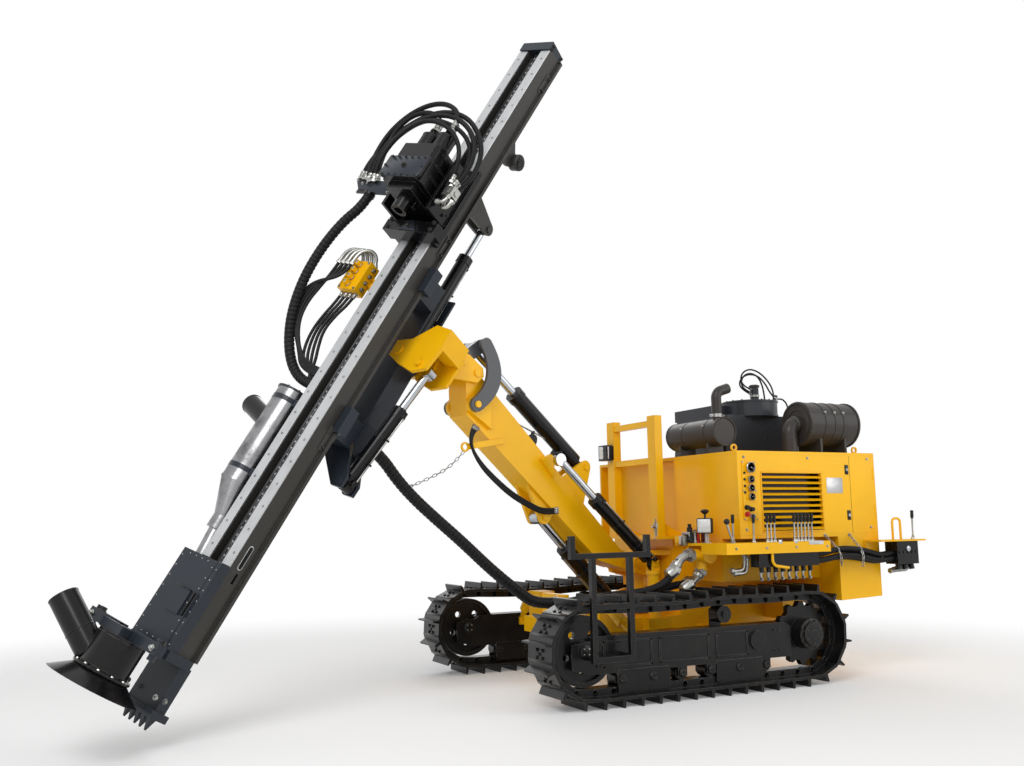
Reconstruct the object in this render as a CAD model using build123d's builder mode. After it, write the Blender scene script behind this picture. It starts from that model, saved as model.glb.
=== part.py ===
import os
from math import cos, hypot, pi, radians, sin

from build123d import *

# Crawler drilling rig, in millimetres. x points forward to the drill, y to the left, z up.
# Until the last step x is measured from the foremost lug on the ground and y from the middle.

# Driving dimensions of the tracks
pitch = 135.0
shoe_count = 38
shoe_width = 300.0
track_y = 876.0
idler_x = -69.0
pitch_radius = 251.0
link_inside = 22.0
shoe_top = 44.0
lug_reach = 92.0
axle_z = pitch_radius + lug_reach
straight_run = (shoe_count * pitch - 2 * pi * pitch_radius) / 2
sprocket_x = idler_x - straight_run
carrier_x = -1156.0
track_pivot_x = -1408.0
track_pivot_z = 325.0

# Driving dimensions of the body
hood_front_x = -1341.0
hood_rear_x = -2630.0
hood_half = 900.0
hood_floor_z = 1020.0
hood_top_z = 1605.0
panel = 22.0

# Boom: it works in an upright plane that is turned to the left at the swing post
swing_x = -1130.0
boom_turn = 15.0
boom_half = 90.0
foot_pin = (176.0, 820.0)
lift_eye = (1053.0, 1171.0)
lift_base = (330.0, 540.0)
tilt_base = (642.0, 1519.0)
rocker_foot = (1702.0, 1892.0)
rocker_top = (1616.0, 2289.0)
link_pin = (1791.0, 2170.0)
head_pin = (1679.0, 2101.0)

# Feed: its long axis leans back in the x-z plane and its face is turned to the left
feed_lean = 58.7
feed_turn = 30.0
cradle_pin = Vector(942.0, 555.0, 2163.0)

# Feed section, in width (w) and depth (n) from the cradle pin
beam_left = -172.0
beam_right = 83.0
beam_back = 270.0
beam_front = 410.0
beam_foot = -2150.0
beam_top = 2300.0
drill_w = (beam_left + beam_right) / 2
drill_n = 655.0

# Directions
boom_out = Vector(cos(radians(boom_turn)), sin(radians(boom_turn)), 0)
boom_across = Vector(-sin(radians(boom_turn)), cos(radians(boom_turn)), 0)
feed_up = Vector(-cos(radians(feed_lean)), 0, sin(radians(feed_lean)))
feed_flat = Vector(sin(radians(feed_lean)), 0, cos(radians(feed_lean)))
feed_face = feed_flat * cos(radians(feed_turn)) + Vector(0, 1, 0) * sin(radians(feed_turn))
feed_side = Vector(0, 1, 0) * cos(radians(feed_turn)) - feed_flat * sin(radians(feed_turn))


# Planes and points


def side(y):
    """Upright plane along the machine at y, drawn in x and z."""
    return Plane(origin=(0, y, 0), x_dir=(1, 0, 0), z_dir=(0, -1, 0))


def facing(x):
    """Upright plane across the machine at x, drawn in y and z."""
    return Plane(origin=(x, 0, 0), x_dir=(0, 1, 0), z_dir=(1, 0, 0))


def boom_plane(off=0.0):
    """Upright plane of the boom, drawn in reach from the swing post and in z."""
    return Plane(
        origin=Vector(swing_x, 0, 0) + boom_across * off, x_dir=boom_out, z_dir=boom_across * -1
    )


def boom_point(reach, z, off=0.0):
    return Vector(swing_x, 0, z) + boom_out * reach + boom_across * off


def feed_plane(n=0.0):
    """Plane of the feed's width and length at the depth n."""
    return Plane(origin=cradle_pin + feed_face * n, x_dir=feed_side, z_dir=feed_face)


def feed_section(m):
    """Plane across the feed at the length m, drawn in depth and width."""
    return Plane(origin=cradle_pin + feed_up * m, x_dir=feed_face, z_dir=feed_up)


def feed_point(w, m, n):
    return cradle_pin + feed_side * w + feed_up * m + feed_face * n


# Shapes that the sub-parts share


def slab(plane, points, amount, both=True, mode=Mode.ADD):
    """Add or cut a plate of the given outline."""
    with BuildSketch(plane) as outline:
        with BuildLine():
            Polyline(*points, close=True)
        make_face()
    extrude(outline.sketch, amount=amount, both=both, mode=mode)


def block(plane, left, right, low, high, amount, both=True, mode=Mode.ADD):
    """Add or cut a rectangular block."""
    slab(plane, [(left, low), (right, low), (right, high), (left, high)], amount, both, mode)


def bar(start, end, radius, mode=Mode.ADD):
    """Add or cut a round bar between two points."""
    start = Vector(*start) if isinstance(start, tuple) else start
    end = Vector(*end) if isinstance(end, tuple) else end
    with BuildSketch(Plane(origin=start, z_dir=end - start)) as section:
        Circle(radius)
    extrude(section.sketch, amount=(end - start).length, mode=mode)


def lug(plane, centre, radius, feet, amount):
    """Add a plate that tapers from its feet to a round end."""
    with BuildSketch(plane) as outline:
        with BuildLine():
            Polyline(*feet)
        with Locations(centre):
            Circle(radius)
        make_hull()
    extrude(outline.sketch, amount=amount, both=True)


def pin(plane, centre, radius, amount, mode=Mode.ADD):
    """Add or cut a round boss or hole on both sides of a plane."""
    with BuildSketch(plane) as section:
        with Locations(centre):
            Circle(radius)
    extrude(section.sketch, amount=amount, both=True, mode=mode)


def bent_bar(points, radii, radius):
    """Add a tube along straight runs joined by tangent arcs."""
    with BuildLine() as route:
        FilletPolyline(*points, radius=radii)
    with BuildSketch(Plane(origin=route.line @ 0, z_dir=route.line % 0)) as section:
        Circle(radius)
    sweep(section.sketch, path=route.line)


def arc_radii(points):
    """The largest arc that each corner's two runs allow."""
    radii = []
    for before, here, after in zip(points, points[1:], points[2:]):
        run_in = Vector(*here) - Vector(*before)
        run_out = Vector(*after) - Vector(*here)
        turn = radians(run_in.get_angle(run_out))
        radii.append(0.45 * min(run_in.length, run_out.length) / abs(sin(turn / 2) / cos(turn / 2)))
    return radii


# Tracks


def loop_point(s):
    """A point of the pin line, s along it from below the idler and rearward on the ground."""
    s = s % (shoe_count * pitch)
    arc = pi * pitch_radius
    if s < straight_run:
        return (idler_x - s, lug_reach)
    s -= straight_run
    if s < arc:
        turn = s / pitch_radius
        return (sprocket_x - pitch_radius * sin(turn), axle_z - pitch_radius * cos(turn))
    s -= arc
    if s < straight_run:
        x = sprocket_x + s
        rear_span = carrier_x - sprocket_x
        if x < carrier_x:
            sag = 8 * sin(pi * (x - sprocket_x) / rear_span)
        else:
            sag = 20 * sin(pi * (x - carrier_x) / (idler_x - carrier_x))
        return (x, axle_z + pitch_radius - sag)
    turn = (s - straight_run) / pitch_radius
    return (idler_x + pitch_radius * sin(turn), axle_z + pitch_radius * cos(turn))


def loop_offset(s, h):
    """A point h outside the pin line."""
    (x0, z0), (x1, z1) = loop_point(s - 5), loop_point(s + 5)
    length = hypot(x1 - x0, z1 - z0)
    x, z = loop_point(s)
    return (x - (z1 - z0) / length * h, z + (x1 - x0) / length * h)


first_lug = idler_x + pitch
lug_starts = [first_lug + k * pitch for k in range(shoe_count)]

# One shoe along its length and outward: plate, then the lug at its leading edge
shoe_profile = [(4, shoe_top), (8, shoe_top), (13, lug_reach), (25, lug_reach), (32, shoe_top), (131, shoe_top)]

shoe_outline = []
for start in lug_starts:
    (x0, z0), (x1, z1) = loop_point(start), loop_point(start + pitch)
    length = hypot(x1 - x0, z1 - z0)
    along = ((x1 - x0) / length, (z1 - z0) / length)
    for s, h in shoe_profile:
        shoe_outline.append((x0 + along[0] * s - along[1] * h, z0 + along[1] * s + along[0] * h))
plate_inside = [loop_offset(start, 25) for start in lug_starts]
link_outside = [loop_offset(start, 27) for start in lug_starts]
link_bottom = [loop_offset(start, -link_inside) for start in lug_starts]

tracks = {}
for name, y in [("track_left", track_y), ("track_right", -track_y)]:
    with BuildPart() as track:
        slab(side(y), shoe_outline, shoe_width / 2)
        slab(side(y), plate_inside, shoe_width / 2 + 1, mode=Mode.SUBTRACT)
        with BuildSketch(side(y)) as chain:
            with BuildLine():
                Polyline(*link_outside, close=True)
            make_face()
            with BuildLine():
                Polyline(*link_bottom, close=True)
            make_face(mode=Mode.SUBTRACT)
        extrude(chain.sketch, amount=52, both=True)
    tracks[name] = track

# Track frames: beam, idler fork, roller guards, drive bracket and carrier bracket

frame_half = 65.0
frame_low = 200.0
frame_high = 430.0
roller_radius = 47.0
roller_z = lug_reach + link_inside + roller_radius
roller_xs = [-330.0, -560.0, -790.0, -1020.0, -1250.0, -1480.0]
carrier_radius = 57.0
carrier_z = axle_z + pitch_radius - link_inside - carrier_radius - 7
guards = [(-690.0, -300.0), (-1440.0, -1060.0)]
idler_radius = 216.0
drive_radius = 104.0

frames = {}
for name, y in [("track_frame_left", track_y), ("track_frame_right", -track_y)]:
    outward = 1 if y > 0 else -1
    with BuildPart() as frame:
        slab(
            side(y),
            [(30, 235), (30, 385), (-120, 405), (-160, frame_high), (-1650, frame_high),
             (-1700, 400), (-1700, frame_low), (-120, frame_low)],
            frame_half,
        )
        pin(side(y), (idler_x, axle_z), idler_radius + 12, 53, mode=Mode.SUBTRACT)
        pin(side(y), (sprocket_x, axle_z), 226, 30, mode=Mode.SUBTRACT)
        block(side(y), -1560, -260, 180, 226, 52, mode=Mode.SUBTRACT)
        pin(side(y), (idler_x, axle_z), 32.05, 80, mode=Mode.SUBTRACT)
        for rear, front in guards:
            for flank in (-1, 1):
                block(side(y + flank * 63), rear, front, 78, 215, 5)
        for x in roller_xs:
            for flank in (-1, 1):
                block(side(y + flank * 58.5), x - 35, x + 35, 140, 215, 6)
            pin(side(y), (x, roller_z), 18.05, 80, mode=Mode.SUBTRACT)
        block(side(y - outward * 58), carrier_x - 45, carrier_x + 45, 420, carrier_z + 35, 6)
        pin(side(y), (carrier_x, carrier_z), 20.05, 80, mode=Mode.SUBTRACT)
        slab(
            side(y - outward * 56),
            [(-1640, 210), (-1640, 425), (sprocket_x - 60, 470), (sprocket_x - 150, 400),
             (sprocket_x - 150, 290), (sprocket_x - 60, 225)],
            9,
        )
        pin(side(y), (sprocket_x, axle_z), 80.05, 90, mode=Mode.SUBTRACT)
        pin(side(y), (track_pivot_x, track_pivot_z), 45.05, 80, mode=Mode.SUBTRACT)
        bar(
            (track_pivot_x, y + outward * 58, track_pivot_z),
            (track_pivot_x, y + outward * 82, track_pivot_z),
            64,
        )
    frames[name] = frame

with BuildPart() as idlers:
    for y in (track_y, -track_y):
        pin(side(y), (idler_x, axle_z), idler_radius, 45)
        for flank in (-1, 1):
            pin(side(y + flank * 32), (idler_x, axle_z), idler_radius - 28, 16, mode=Mode.SUBTRACT)
        pin(side(y), (idler_x, axle_z), idler_radius - 20, 12)
        pin(side(y), (idler_x, axle_z), 62, 50)
        pin(side(y), (idler_x, axle_z), 32, frame_half)
        with BuildSketch(side(y)) as lightening:
            with Locations((idler_x, axle_z)):
                with PolarLocations(120, 5, start_angle=54):
                    Circle(22)
        extrude(lightening.sketch, amount=50, both=True, mode=Mode.SUBTRACT)

tooth_count = 12
with BuildPart() as sprockets:
    for y in (track_y, -track_y):
        outward = 1 if y > 0 else -1
        teeth = []
        for tooth in range(tooth_count):
            middle = 2 * pi * tooth / tooth_count
            for turn, reach in ((-0.17, 188), (-0.07, 217), (0.07, 217), (0.17, 188)):
                angle = middle + turn
                teeth.append((sprocket_x + reach * cos(angle), axle_z + reach * sin(angle)))
        slab(side(y), teeth, 22)
        bar((sprocket_x, y, axle_z), (sprocket_x, y + outward * 118, axle_z), drive_radius)
        bar((sprocket_x, y + outward * 110, axle_z), (sprocket_x, y + outward * 136, axle_z), 80)
        bar((sprocket_x, y, axle_z), (sprocket_x, y - outward * 120, axle_z), 80)

with BuildPart() as track_rollers:
    for y in (track_y, -track_y):
        for x in roller_xs:
            pin(side(y), (x, roller_z), roller_radius, 48)
            pin(side(y), (x, roller_z), 18, 64)
        pin(side(y), (carrier_x, carrier_z), carrier_radius, 48)
        pin(side(y), (carrier_x, carrier_z), 20, 62)

# Step rack of square tube beside the left track

rack_y = 1060.0
tube = 17.0
with BuildPart() as step_rack:
    for x in (-60, -330):
        block(side(rack_y), x - tube, x + tube, 285, 925, tube)
        bar((x, track_y + frame_half, 310), (x, rack_y, 310), tube)
    block(side(rack_y), -480, 100, 908, 942, tube)
    block(side(rack_y), 66, 100, 942, 1048, tube)
    block(side(rack_y), -480, -446, 942, 1048, tube)
    block(side(rack_y), -347, -43, 600, 634, tube)
    block(side(rack_y), -347, -43, 285, 319, tube)

# Main frame: cross axle, centre box, swing tower and the deck at the portal

tower_x = -1235.0
deck_z = 455.0
lug_plate = 36.0
upper_lug_z = 880.0
post_radius = 88.0
post_pin = 40.0
swing_base = Vector(-993.0, 350.0, 826.0)

with BuildPart() as main_frame:
    block(side(0), -2230, tower_x, 350, 640, 330)
    block(side(0), -2200, hood_front_x, 640, 700, 300)
    block(side(0), tower_x, -300, 345, deck_z, 330)
    block(side(0), hood_front_x + 1, tower_x, 600, 998, 260)
    bar((track_pivot_x, -930, track_pivot_z), (track_pivot_x, 930, track_pivot_z), 45)
    bar((track_pivot_x, -800, track_pivot_z), (track_pivot_x, 800, track_pivot_z), 70)
    slab(
        Plane.XY.offset(upper_lug_z),
        [(tower_x - 5, -230), (tower_x - 5, 230), (swing_x + 40, 105), (swing_x + 95, 60),
         (swing_x + 95, -60), (swing_x + 40, -105)],
        lug_plate,
        both=False,
    )
    bar((swing_x, 0, 300), (swing_x, 0, 1000), post_pin + 0.05, mode=Mode.SUBTRACT)
    block(side(365), -1085, -900, 345, deck_z, 50)
    bar((swing_base.X, swing_base.Y, deck_z - 5), (swing_base.X, swing_base.Y, 752), 44)
    bar((swing_base.X, swing_base.Y, 750), (swing_base.X, swing_base.Y, 776), 20)
    for flank in (-1, 1):
        block(side(flank * 420), -560, -440, 400, 620, 92)
        block(side(flank * 430), -2200, -2000, 400, 640, 110)
    block(side(160), -320, -270, 400, 640, 150)
    bar((-275, 250, 585), (-250, 250, 585), 48)

with BuildPart() as levelling_cylinders:
    for flank in (-1, 1):
        bar((-472, flank * 560, 578), (-500, flank * 700, 470), 40)
        bar((-500, flank * 700, 470), (-526, flank * 792, 402), 22)
        block(side(flank * 800), -560, -500, 340, 400, 11)

# Body: floor, rear tank and the hood's five panels round the engine

with BuildPart() as lower_body:
    block(side(0), -2230, hood_front_x, 700, 998, 700)
    block(side(0), hood_rear_x, hood_front_x, 998, hood_floor_z, hood_half)
    slab(
        side(0),
        [(hood_rear_x, 560), (hood_rear_x, 998), (-2231, 998), (-2231, 545)],
        hood_half,
    )

louvre_front, louvre_rear = -1549.0, -2098.0
louvre_low, louvre_high = 1050.0, 1450.0
louvre_count = 10

hood_panels = {}
for name, flank in [("hood_left", 1), ("hood_right", -1)]:
    with BuildPart() as cover:
        block(
            side(flank * (hood_half - panel / 2)),
            hood_rear_x, hood_front_x, hood_floor_z, hood_top_z - panel, panel / 2,
        )
        block(
            side(flank * (hood_half - panel / 2)),
            louvre_rear, louvre_front, louvre_low, louvre_high, panel, mode=Mode.SUBTRACT,
        )
        step = (louvre_high - louvre_low) / louvre_count
        for k in range(louvre_count):
            low = louvre_low + k * step
            slab(
                Plane(origin=(louvre_rear - 5, 0, 0), x_dir=(0, 1, 0), z_dir=(1, 0, 0)),
                [(flank * (hood_half - 16), low + 22), (flank * (hood_half - 20), low + 22),
                 (flank * (hood_half + 4), low + 4), (flank * (hood_half + 8), low + 4)],
                louvre_front - louvre_rear + 10,
                both=False,
            )
    hood_panels[name] = cover

step_y = 165.0
setback = 150.0
with BuildPart() as hood_ends:
    block(
        facing(hood_front_x - panel / 2), step_y, hood_half - panel, hood_floor_z, hood_top_z - panel, panel / 2,
    )
    block(side(step_y + panel / 2), hood_front_x - setback, hood_front_x, hood_floor_z, hood_top_z - panel, panel / 2)
    block(
        facing(hood_front_x - setback + panel / 2), -hood_half + panel, step_y + panel,
        hood_floor_z, hood_top_z - panel, panel / 2,
    )
    block(
        facing(hood_rear_x + panel / 2), -hood_half + panel, hood_half - panel,
        hood_floor_z, hood_top_z - panel, panel / 2,
    )
with BuildPart() as hood_roof:
    block(
        Plane.XY.offset(hood_top_z - panel), hood_rear_x, hood_front_x,
        -hood_half, hood_half, panel, both=False,
    )
    for x in (hood_front_x - 60, hood_rear_x + 90):
        for flank in (-1, 1):
            with BuildSketch(side(flank * 800)) as eye:
                with Locations((x, hood_top_z + 28)):
                    Circle(26)
                    Circle(15, mode=Mode.SUBTRACT)
                with Locations((x, hood_top_z + 3)):
                    Rectangle(24, 8)
            extrude(eye.sketch, amount=6, both=True)

with BuildPart() as radiator_core:
    for flank in (-1, 1):
        block(side(flank * 800), louvre_rear - 20, louvre_front + 20, hood_floor_z, louvre_high + 40, 30)

with BuildPart() as engine_block:
    block(side(0), -2350, -1600, hood_floor_z, 1480, 330)

# Roof equipment

muffler_x, muffler_z, muffler_radius = -1550.0, 1775.0, 105.0
with BuildPart() as muffler:
    bar((muffler_x, -60, muffler_z), (muffler_x, 515, muffler_z), muffler_radius)
    pin(side(-60), (muffler_x, muffler_z), 85, 12)
    for y in (60, 400):
        block(side(y), muffler_x - 70, muffler_x + 70, hood_top_z, muffler_z, 12)
    bent_bar(
        [(muffler_x, 440, muffler_z + 80), (muffler_x, 440, 2075), (muffler_x - 110, 440, 2110)],
        [60],
        38,
    )

collector_y = 60.0
ring_x, ring_y, ring_radius = -2090.0, 170.0, 215.0
with BuildPart() as dust_collector:
    slab(
        side(collector_y - 80),
        [(-2360, hood_top_z), (-1720, hood_top_z), (-1760, 1930), (-2340, 1930)],
        330,
    )
    block(Plane.XY.offset(1930), -2330, -1770, -390, 150, 90, both=False)
    bar((ring_x, ring_y, 1925), (ring_x, ring_y, 2050), ring_radius)
    bar((ring_x, ring_y, 1990), (ring_x, ring_y, 2060), ring_radius - 14, mode=Mode.SUBTRACT)
    bar((ring_x, ring_y, 1980), (ring_x, ring_y, 2030), 60)
    bar((ring_x - 40, ring_y + 20, 2020), (ring_x - 40, ring_y + 20, 2180), 34)

filter_y, filter_z, filter_radius = 640.0, 1835.0, 165.0
with BuildPart() as air_filter:
    bar((-2150, filter_y, filter_z), (-2620, filter_y, filter_z), filter_radius)
    for x in (-2260, -2500):
        block(facing(x), filter_y - 120, filter_y + 120, hood_top_z, filter_z - 80, 10)
    bent_bar(
        [(-2152, filter_y, filter_z), (-2060, filter_y, filter_z - 20), (-2060, filter_y, hood_top_z)],
        [70],
        58,
    )

# Portal over the boom foot, its lamps and the deck it stands on

portal_x = -1095.0
portal_y = 280.0
portal_high = 1900.0
with BuildPart() as portal:
    block(Plane.XY.offset(998), hood_front_x, portal_x + 45, -portal_y - 60, portal_y + 60, 22, both=False)
    for flank in (-1, 1):
        block(
            Plane.XY.offset(1015), portal_x - 32, portal_x + 32,
            flank * portal_y - 48, flank * portal_y + 48, portal_high - 1015, both=False,
        )
    for z in (1845, 1570):
        block(facing(portal_x), -portal_y, portal_y, z - 22, z + 22, 25)
    for flank in (-1, 1):
        slab(
            side(flank * portal_y),
            [(hood_front_x, 1010), (portal_x, 1010), (portal_x, 1120), (portal_x - 40, 1120)],
            8,
        )

with BuildPart() as work_lamps:
    block(facing(portal_x + 76), -portal_y - 60, -portal_y + 50, 1600, 1720, 30)
    block(facing(portal_x + 40), -portal_y - 25, -portal_y + 25, 1610, 1650, 8)

# Controls along the left side

shelf_low, shelf_high = 955.0, 975.0
shelf_front, shelf_rear, shelf_out = -1100.0, -2010.0, 1050.0
stand_front, stand_rear = -2480.0, -2930.0
stand_y, stand_high = 990.0, 967.0
lip = 55.0
with BuildPart() as control_shelf:
    block(Plane.XY.offset(shelf_low), shelf_rear, hood_front_x, 700, shelf_out, shelf_high - shelf_low, both=False)
    block(Plane.XY.offset(shelf_low), hood_front_x, shelf_front, 480, shelf_out, shelf_high - shelf_low,
          both=False)
    block(side(shelf_out - 5), shelf_rear, shelf_front, shelf_low - lip, shelf_low + 5, 5)
    block(facing(shelf_front - 5), 780, shelf_out - 5, shelf_low - lip, shelf_low + 5, 5)
    bent_bar(
        [(-1500, 1030, shelf_low + 2), (-1500, 1030, 820), (-1640, 1030, 800)],
        [45],
        10,
    )
    block(Plane.XY.offset(955), stand_rear, stand_front, 905, 1065, 12, both=False)
    block(side(908), -2600, stand_front, 860, 967, 8)
    bent_bar([(-2680, 990, 965), (-2680, 990, 1120), (-2760, 990, 1120), (-2760, 990, 965)], [30, 30], 9)

lever_banks = [(-1500.0, 3, 32.0), (-1740.0, 6, 32.0)]
lever_y = shelf_out - 60
lever_long = 190.0
grip_long = 60.0
with BuildPart() as control_levers:
    for front, count, spacing in lever_banks:
        block(side(lever_y), front - count * spacing, front + spacing, shelf_high, shelf_high + 28, 35)
        for k in range(count):
            x = front - k * spacing
            bar((x, lever_y, shelf_high + 20), (x, lever_y + 6, shelf_high + lever_long), 6)
            bar((x, lever_y + 6, shelf_high + lever_long - 5), (x, lever_y + 8, shelf_high + lever_long + grip_long), 12)
    for x, y in ((-1390.0, lever_y - 10), (-1230.0, lever_y - 30)):
        bar((x, y, shelf_high), (x, y, shelf_high + 175), 7)
        bar((x, y, shelf_high + 170), (x, y, shelf_high + 235), 13)
    bar((stand_rear + 50, stand_y, stand_high), (stand_rear + 50, stand_y, stand_high + 143), 8)
    bar((stand_rear + 50, stand_y, stand_high + 138), (stand_rear + 50, stand_y, stand_high + 228), 14)

with BuildPart() as gauge_panel:
    block(side(903), -1495, -1378, 1125, 1531, 3)
    for z, radius in ((1487, 38), (1405, 26), (1345, 26), (1285, 26)):
        bar((-1440, 905, z), (-1440, 918, z), radius)

hose_places = [(945.0, 872.0), (988.0, 876.0), (948.0, 832.0), (992.0, 838.0)]
hose_radius = 19.0
bank_rear, valve_front = -1930.0, -2660.0
with BuildPart() as control_valves:
    block(side(968), bank_rear, -1400, 808, shelf_low, 46)
    for k in range(8):
        bar((-1450 - k * 62, 968, 812), (-1450 - k * 62, 975, 770), 16)
    block(side(985), -2870, valve_front, 790, 955, 58)
    for x in (-2700, -2765, -2830):
        bar((x, 1000, 795), (x, 1010, 750), 20)

with BuildPart() as air_valve:
    bar((-1190, 560, 895), (-1190, 760, 895), 60)
    bar((-1190, 650, 895), (-1190, 650, 790), 45)
    bar((-1190, 690, 895), (-1090, 690, 895), 40)

with BuildPart() as side_hoses:
    for y, z in hose_places:
        bent_bar(
            [(bank_rear, y, z), (-2090, y, z), (-2480, y - 5, z - 25), (valve_front, y - 5, z - 25)],
            [900, 900],
            hose_radius,
        )

# Swing post: it turns in the lugs of the main frame and carries the boom and its lift cylinder

foot_pin_radius = 28.0
cylinder_pin = 22.0
with BuildPart() as swing_post:
    bar((swing_x, 0, 470), (swing_x, 0, upper_lug_z - 5), post_radius)
    bar((swing_x, 0, 356), (swing_x, 0, upper_lug_z + lug_plate + 14), post_pin)
    bar((swing_x, 0, upper_lug_z + lug_plate + 1), (swing_x, 0, upper_lug_z + lug_plate + 18), 62)
    block(boom_plane(), -30, 60, 660, 862, 135)
    for flank in (-1, 1):
        slab(
            boom_plane(flank * 115),
            [(-30, 700), (foot_pin[0] + 40, 760), (foot_pin[0] + 58, foot_pin[1]),
             (foot_pin[0] + 30, foot_pin[1] + 52), (foot_pin[0] - 40, foot_pin[1] + 52), (-30, 860)],
            20,
        )
        slab(
            boom_plane(flank * 70),
            [(-30, 480), (lift_base[0], 480), (lift_base[0] + 55, 500), (lift_base[0] + 55, 570),
             (lift_base[0], 600), (120, 640), (-30, 640)],
            12,
        )
    pin(boom_plane(), foot_pin, foot_pin_radius, 145)
    pin(boom_plane(), lift_base, cylinder_pin, 95)

# Boom, from its foot to the pin of the head, with the lugs of its four cylinders


def pin_ends(off, reach, centre, radius):
    """Add the two ends of a pin outside a pair of lugs."""
    for flank in (-1, 1):
        pin(boom_plane(flank * (off + reach) / 2), centre, radius, (reach - off) / 2)


boom_body = [
    (250, 900), (313, 918), (1449, 1929), (1607, 2066), (1650, 2160), (1710, 2166), (1750, 2090),
    (1752, 2000), (1745, 1825), (560, 862), (330, 800),
]
rocker_pin = 24.0
swing_eye_at = (1036.0, 1551.0)
swing_eye_off = 205.0
arm_root, arm_tip = boom_point(1440, 1672, boom_half + 5), boom_point(1745, 1622, boom_half + 5)
arm_long = (arm_tip - arm_root).length
arm_plane = Plane(origin=arm_root, x_dir=arm_tip - arm_root, z_dir=boom_across * -1)
arm_half = 20.0
ring_reach = 32.0
with BuildPart() as boom:
    slab(boom_plane(), boom_body, boom_half)
    slab(boom_plane(), [(140, 772), (120, 820), (150, 868), (350, 940), (450, 850), (230, 772)], 80)
    pin(boom_plane(), foot_pin, 58, boom_half)
    pin(boom_plane(), foot_pin, foot_pin_radius + 0.05, 200, mode=Mode.SUBTRACT)
    pin(boom_plane(), head_pin, 72, boom_half)
    pin(boom_plane(), head_pin, 26.05, 200, mode=Mode.SUBTRACT)
    for flank in (-1, 1):
        lug(boom_plane(flank * 55), tilt_base, 48, [(700, 1170), (960, 1400)], 12)
        lug(boom_plane(flank * 55), lift_eye, 50, [(940, 1215), (1060, 1310), (1230, 1440)], 12)
        lug(boom_plane(flank * 103), rocker_foot, 56, [(1560, 1740), (1560, 1900), (1680, 1960)], 15)
    pin(boom_plane(), tilt_base, cylinder_pin, 80)
    pin_ends(60, 80, lift_eye, cylinder_pin)
    pin(boom_plane(), rocker_foot, cylinder_pin, 160)
    lug(boom_plane(boom_half + 13), swing_eye_at, 44, [(1010, 1440), (1120, 1560)], 14)
    block(arm_plane, 0, arm_long, -arm_half, arm_half, 6)
    with BuildSketch(arm_plane) as ring:
        with Locations((arm_long + ring_reach - 8, 0)):
            Circle(ring_reach)
            Circle(ring_reach - 12, mode=Mode.SUBTRACT)
    extrude(ring.sketch, amount=6, both=True)

swing_eye = boom_point(*swing_eye_at, swing_eye_off)
swing_level = Vector(swing_eye.X - swing_base.X, swing_eye.Y - swing_base.Y, 0).normalized()
swing_pin_axis = swing_level.cross(Vector(0, 0, 1))


def cylinder_pair(base, eye, barrel_length, rod_start, barrel_radius, rod_radius, eye_radius, eye_half, across):
    """Barrel and rod of a cylinder from its base pin to its rod's eye; across is the pins' axis."""
    along = (eye - base).normalized()
    length = (eye - base).length
    with BuildPart() as barrel:
        bar(base + along * (eye_radius * 0.7), base + along * (eye_radius + 34), eye_half * 0.9)
        bar(base + along * (eye_radius + 28), base + along * barrel_length, barrel_radius)
        bar(base - across * eye_half, base + across * eye_half, eye_radius)
        bar(base - across * 60, base + across * 60, cylinder_pin + 0.05, mode=Mode.SUBTRACT)
        bar(base + along * (barrel_length - 55), base + along * barrel_length, barrel_radius + 6)
        bar(base + along * (eye_radius + 40), base + along * (barrel_length + 1), rod_radius + 1,
            mode=Mode.SUBTRACT)
    with BuildPart() as rod:
        bar(base + along * rod_start, base + along * (length - eye_radius * 0.7), rod_radius)
        bar(eye - across * eye_half, eye + across * eye_half, eye_radius)
    return barrel, rod


lift_barrel, lift_rod = cylinder_pair(
    boom_point(*lift_base), boom_point(*lift_eye), 640, 320, 55, 32, 50, 38, boom_across
)
tilt_barrel, tilt_rod = cylinder_pair(
    boom_point(*tilt_base), boom_point(*rocker_top), 790, 395, 57, 30, 44, 38, boom_across
)
swing_barrel, swing_rod = cylinder_pair(
    swing_base, swing_eye, 700, 280, 48, 28, 42, 20, swing_pin_axis
)

with BuildPart() as swing_anchor:
    bar((swing_base.X, swing_base.Y, 753), (swing_base.X, swing_base.Y, 780), 50)
    bar((swing_base.X, swing_base.Y, 750), (swing_base.X, swing_base.Y, 777), 20.05, mode=Mode.SUBTRACT)
    for flank in (-1, 1):
        start = swing_base + swing_pin_axis * (flank * 26)
        with BuildSketch(
            Plane(origin=start, x_dir=swing_level, z_dir=swing_pin_axis)
        ) as cheek:
            with BuildLine():
                Polyline((-38, -60), (38, -60), (30, 28), (-30, 28), close=True)
            make_face()
        extrude(cheek.sketch, amount=5, both=True)
    bar(swing_base - swing_pin_axis * 36, swing_base + swing_pin_axis * 36, cylinder_pin)

# Tilt linkage: two rocker plates from the boom, and the link from them to the head

rocker_off = 136.0
rocker_end = 48.0
rocker_waist = (1498.0, 2085.0)
rocker_throat = (1612.0, 2098.0)
with BuildPart() as rocker:
    for flank in (-1, 1):
        with BuildSketch(boom_plane(flank * rocker_off)) as plate:
            with BuildLine():
                back = Spline(
                    (rocker_foot[0] - 22, rocker_foot[1] - 43), rocker_waist, (rocker_top[0] - 42, rocker_top[1] + 22)
                )
                Line(back @ 1, (rocker_top[0] + 44, rocker_top[1] - 18))
                throat = Spline(
                    (rocker_top[0] + 44, rocker_top[1] - 18), rocker_throat, (rocker_foot[0] + 30, rocker_foot[1] + 37)
                )
                Line(throat @ 1, back @ 0)
            make_face()
            with Locations(rocker_foot, rocker_top):
                Circle(rocker_end)
        extrude(plate.sketch, amount=12, both=True)
    pin(boom_plane(), rocker_foot, cylinder_pin + 0.05, 200, mode=Mode.SUBTRACT)
    pin_ends(46, 140, rocker_top, rocker_pin)

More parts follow.
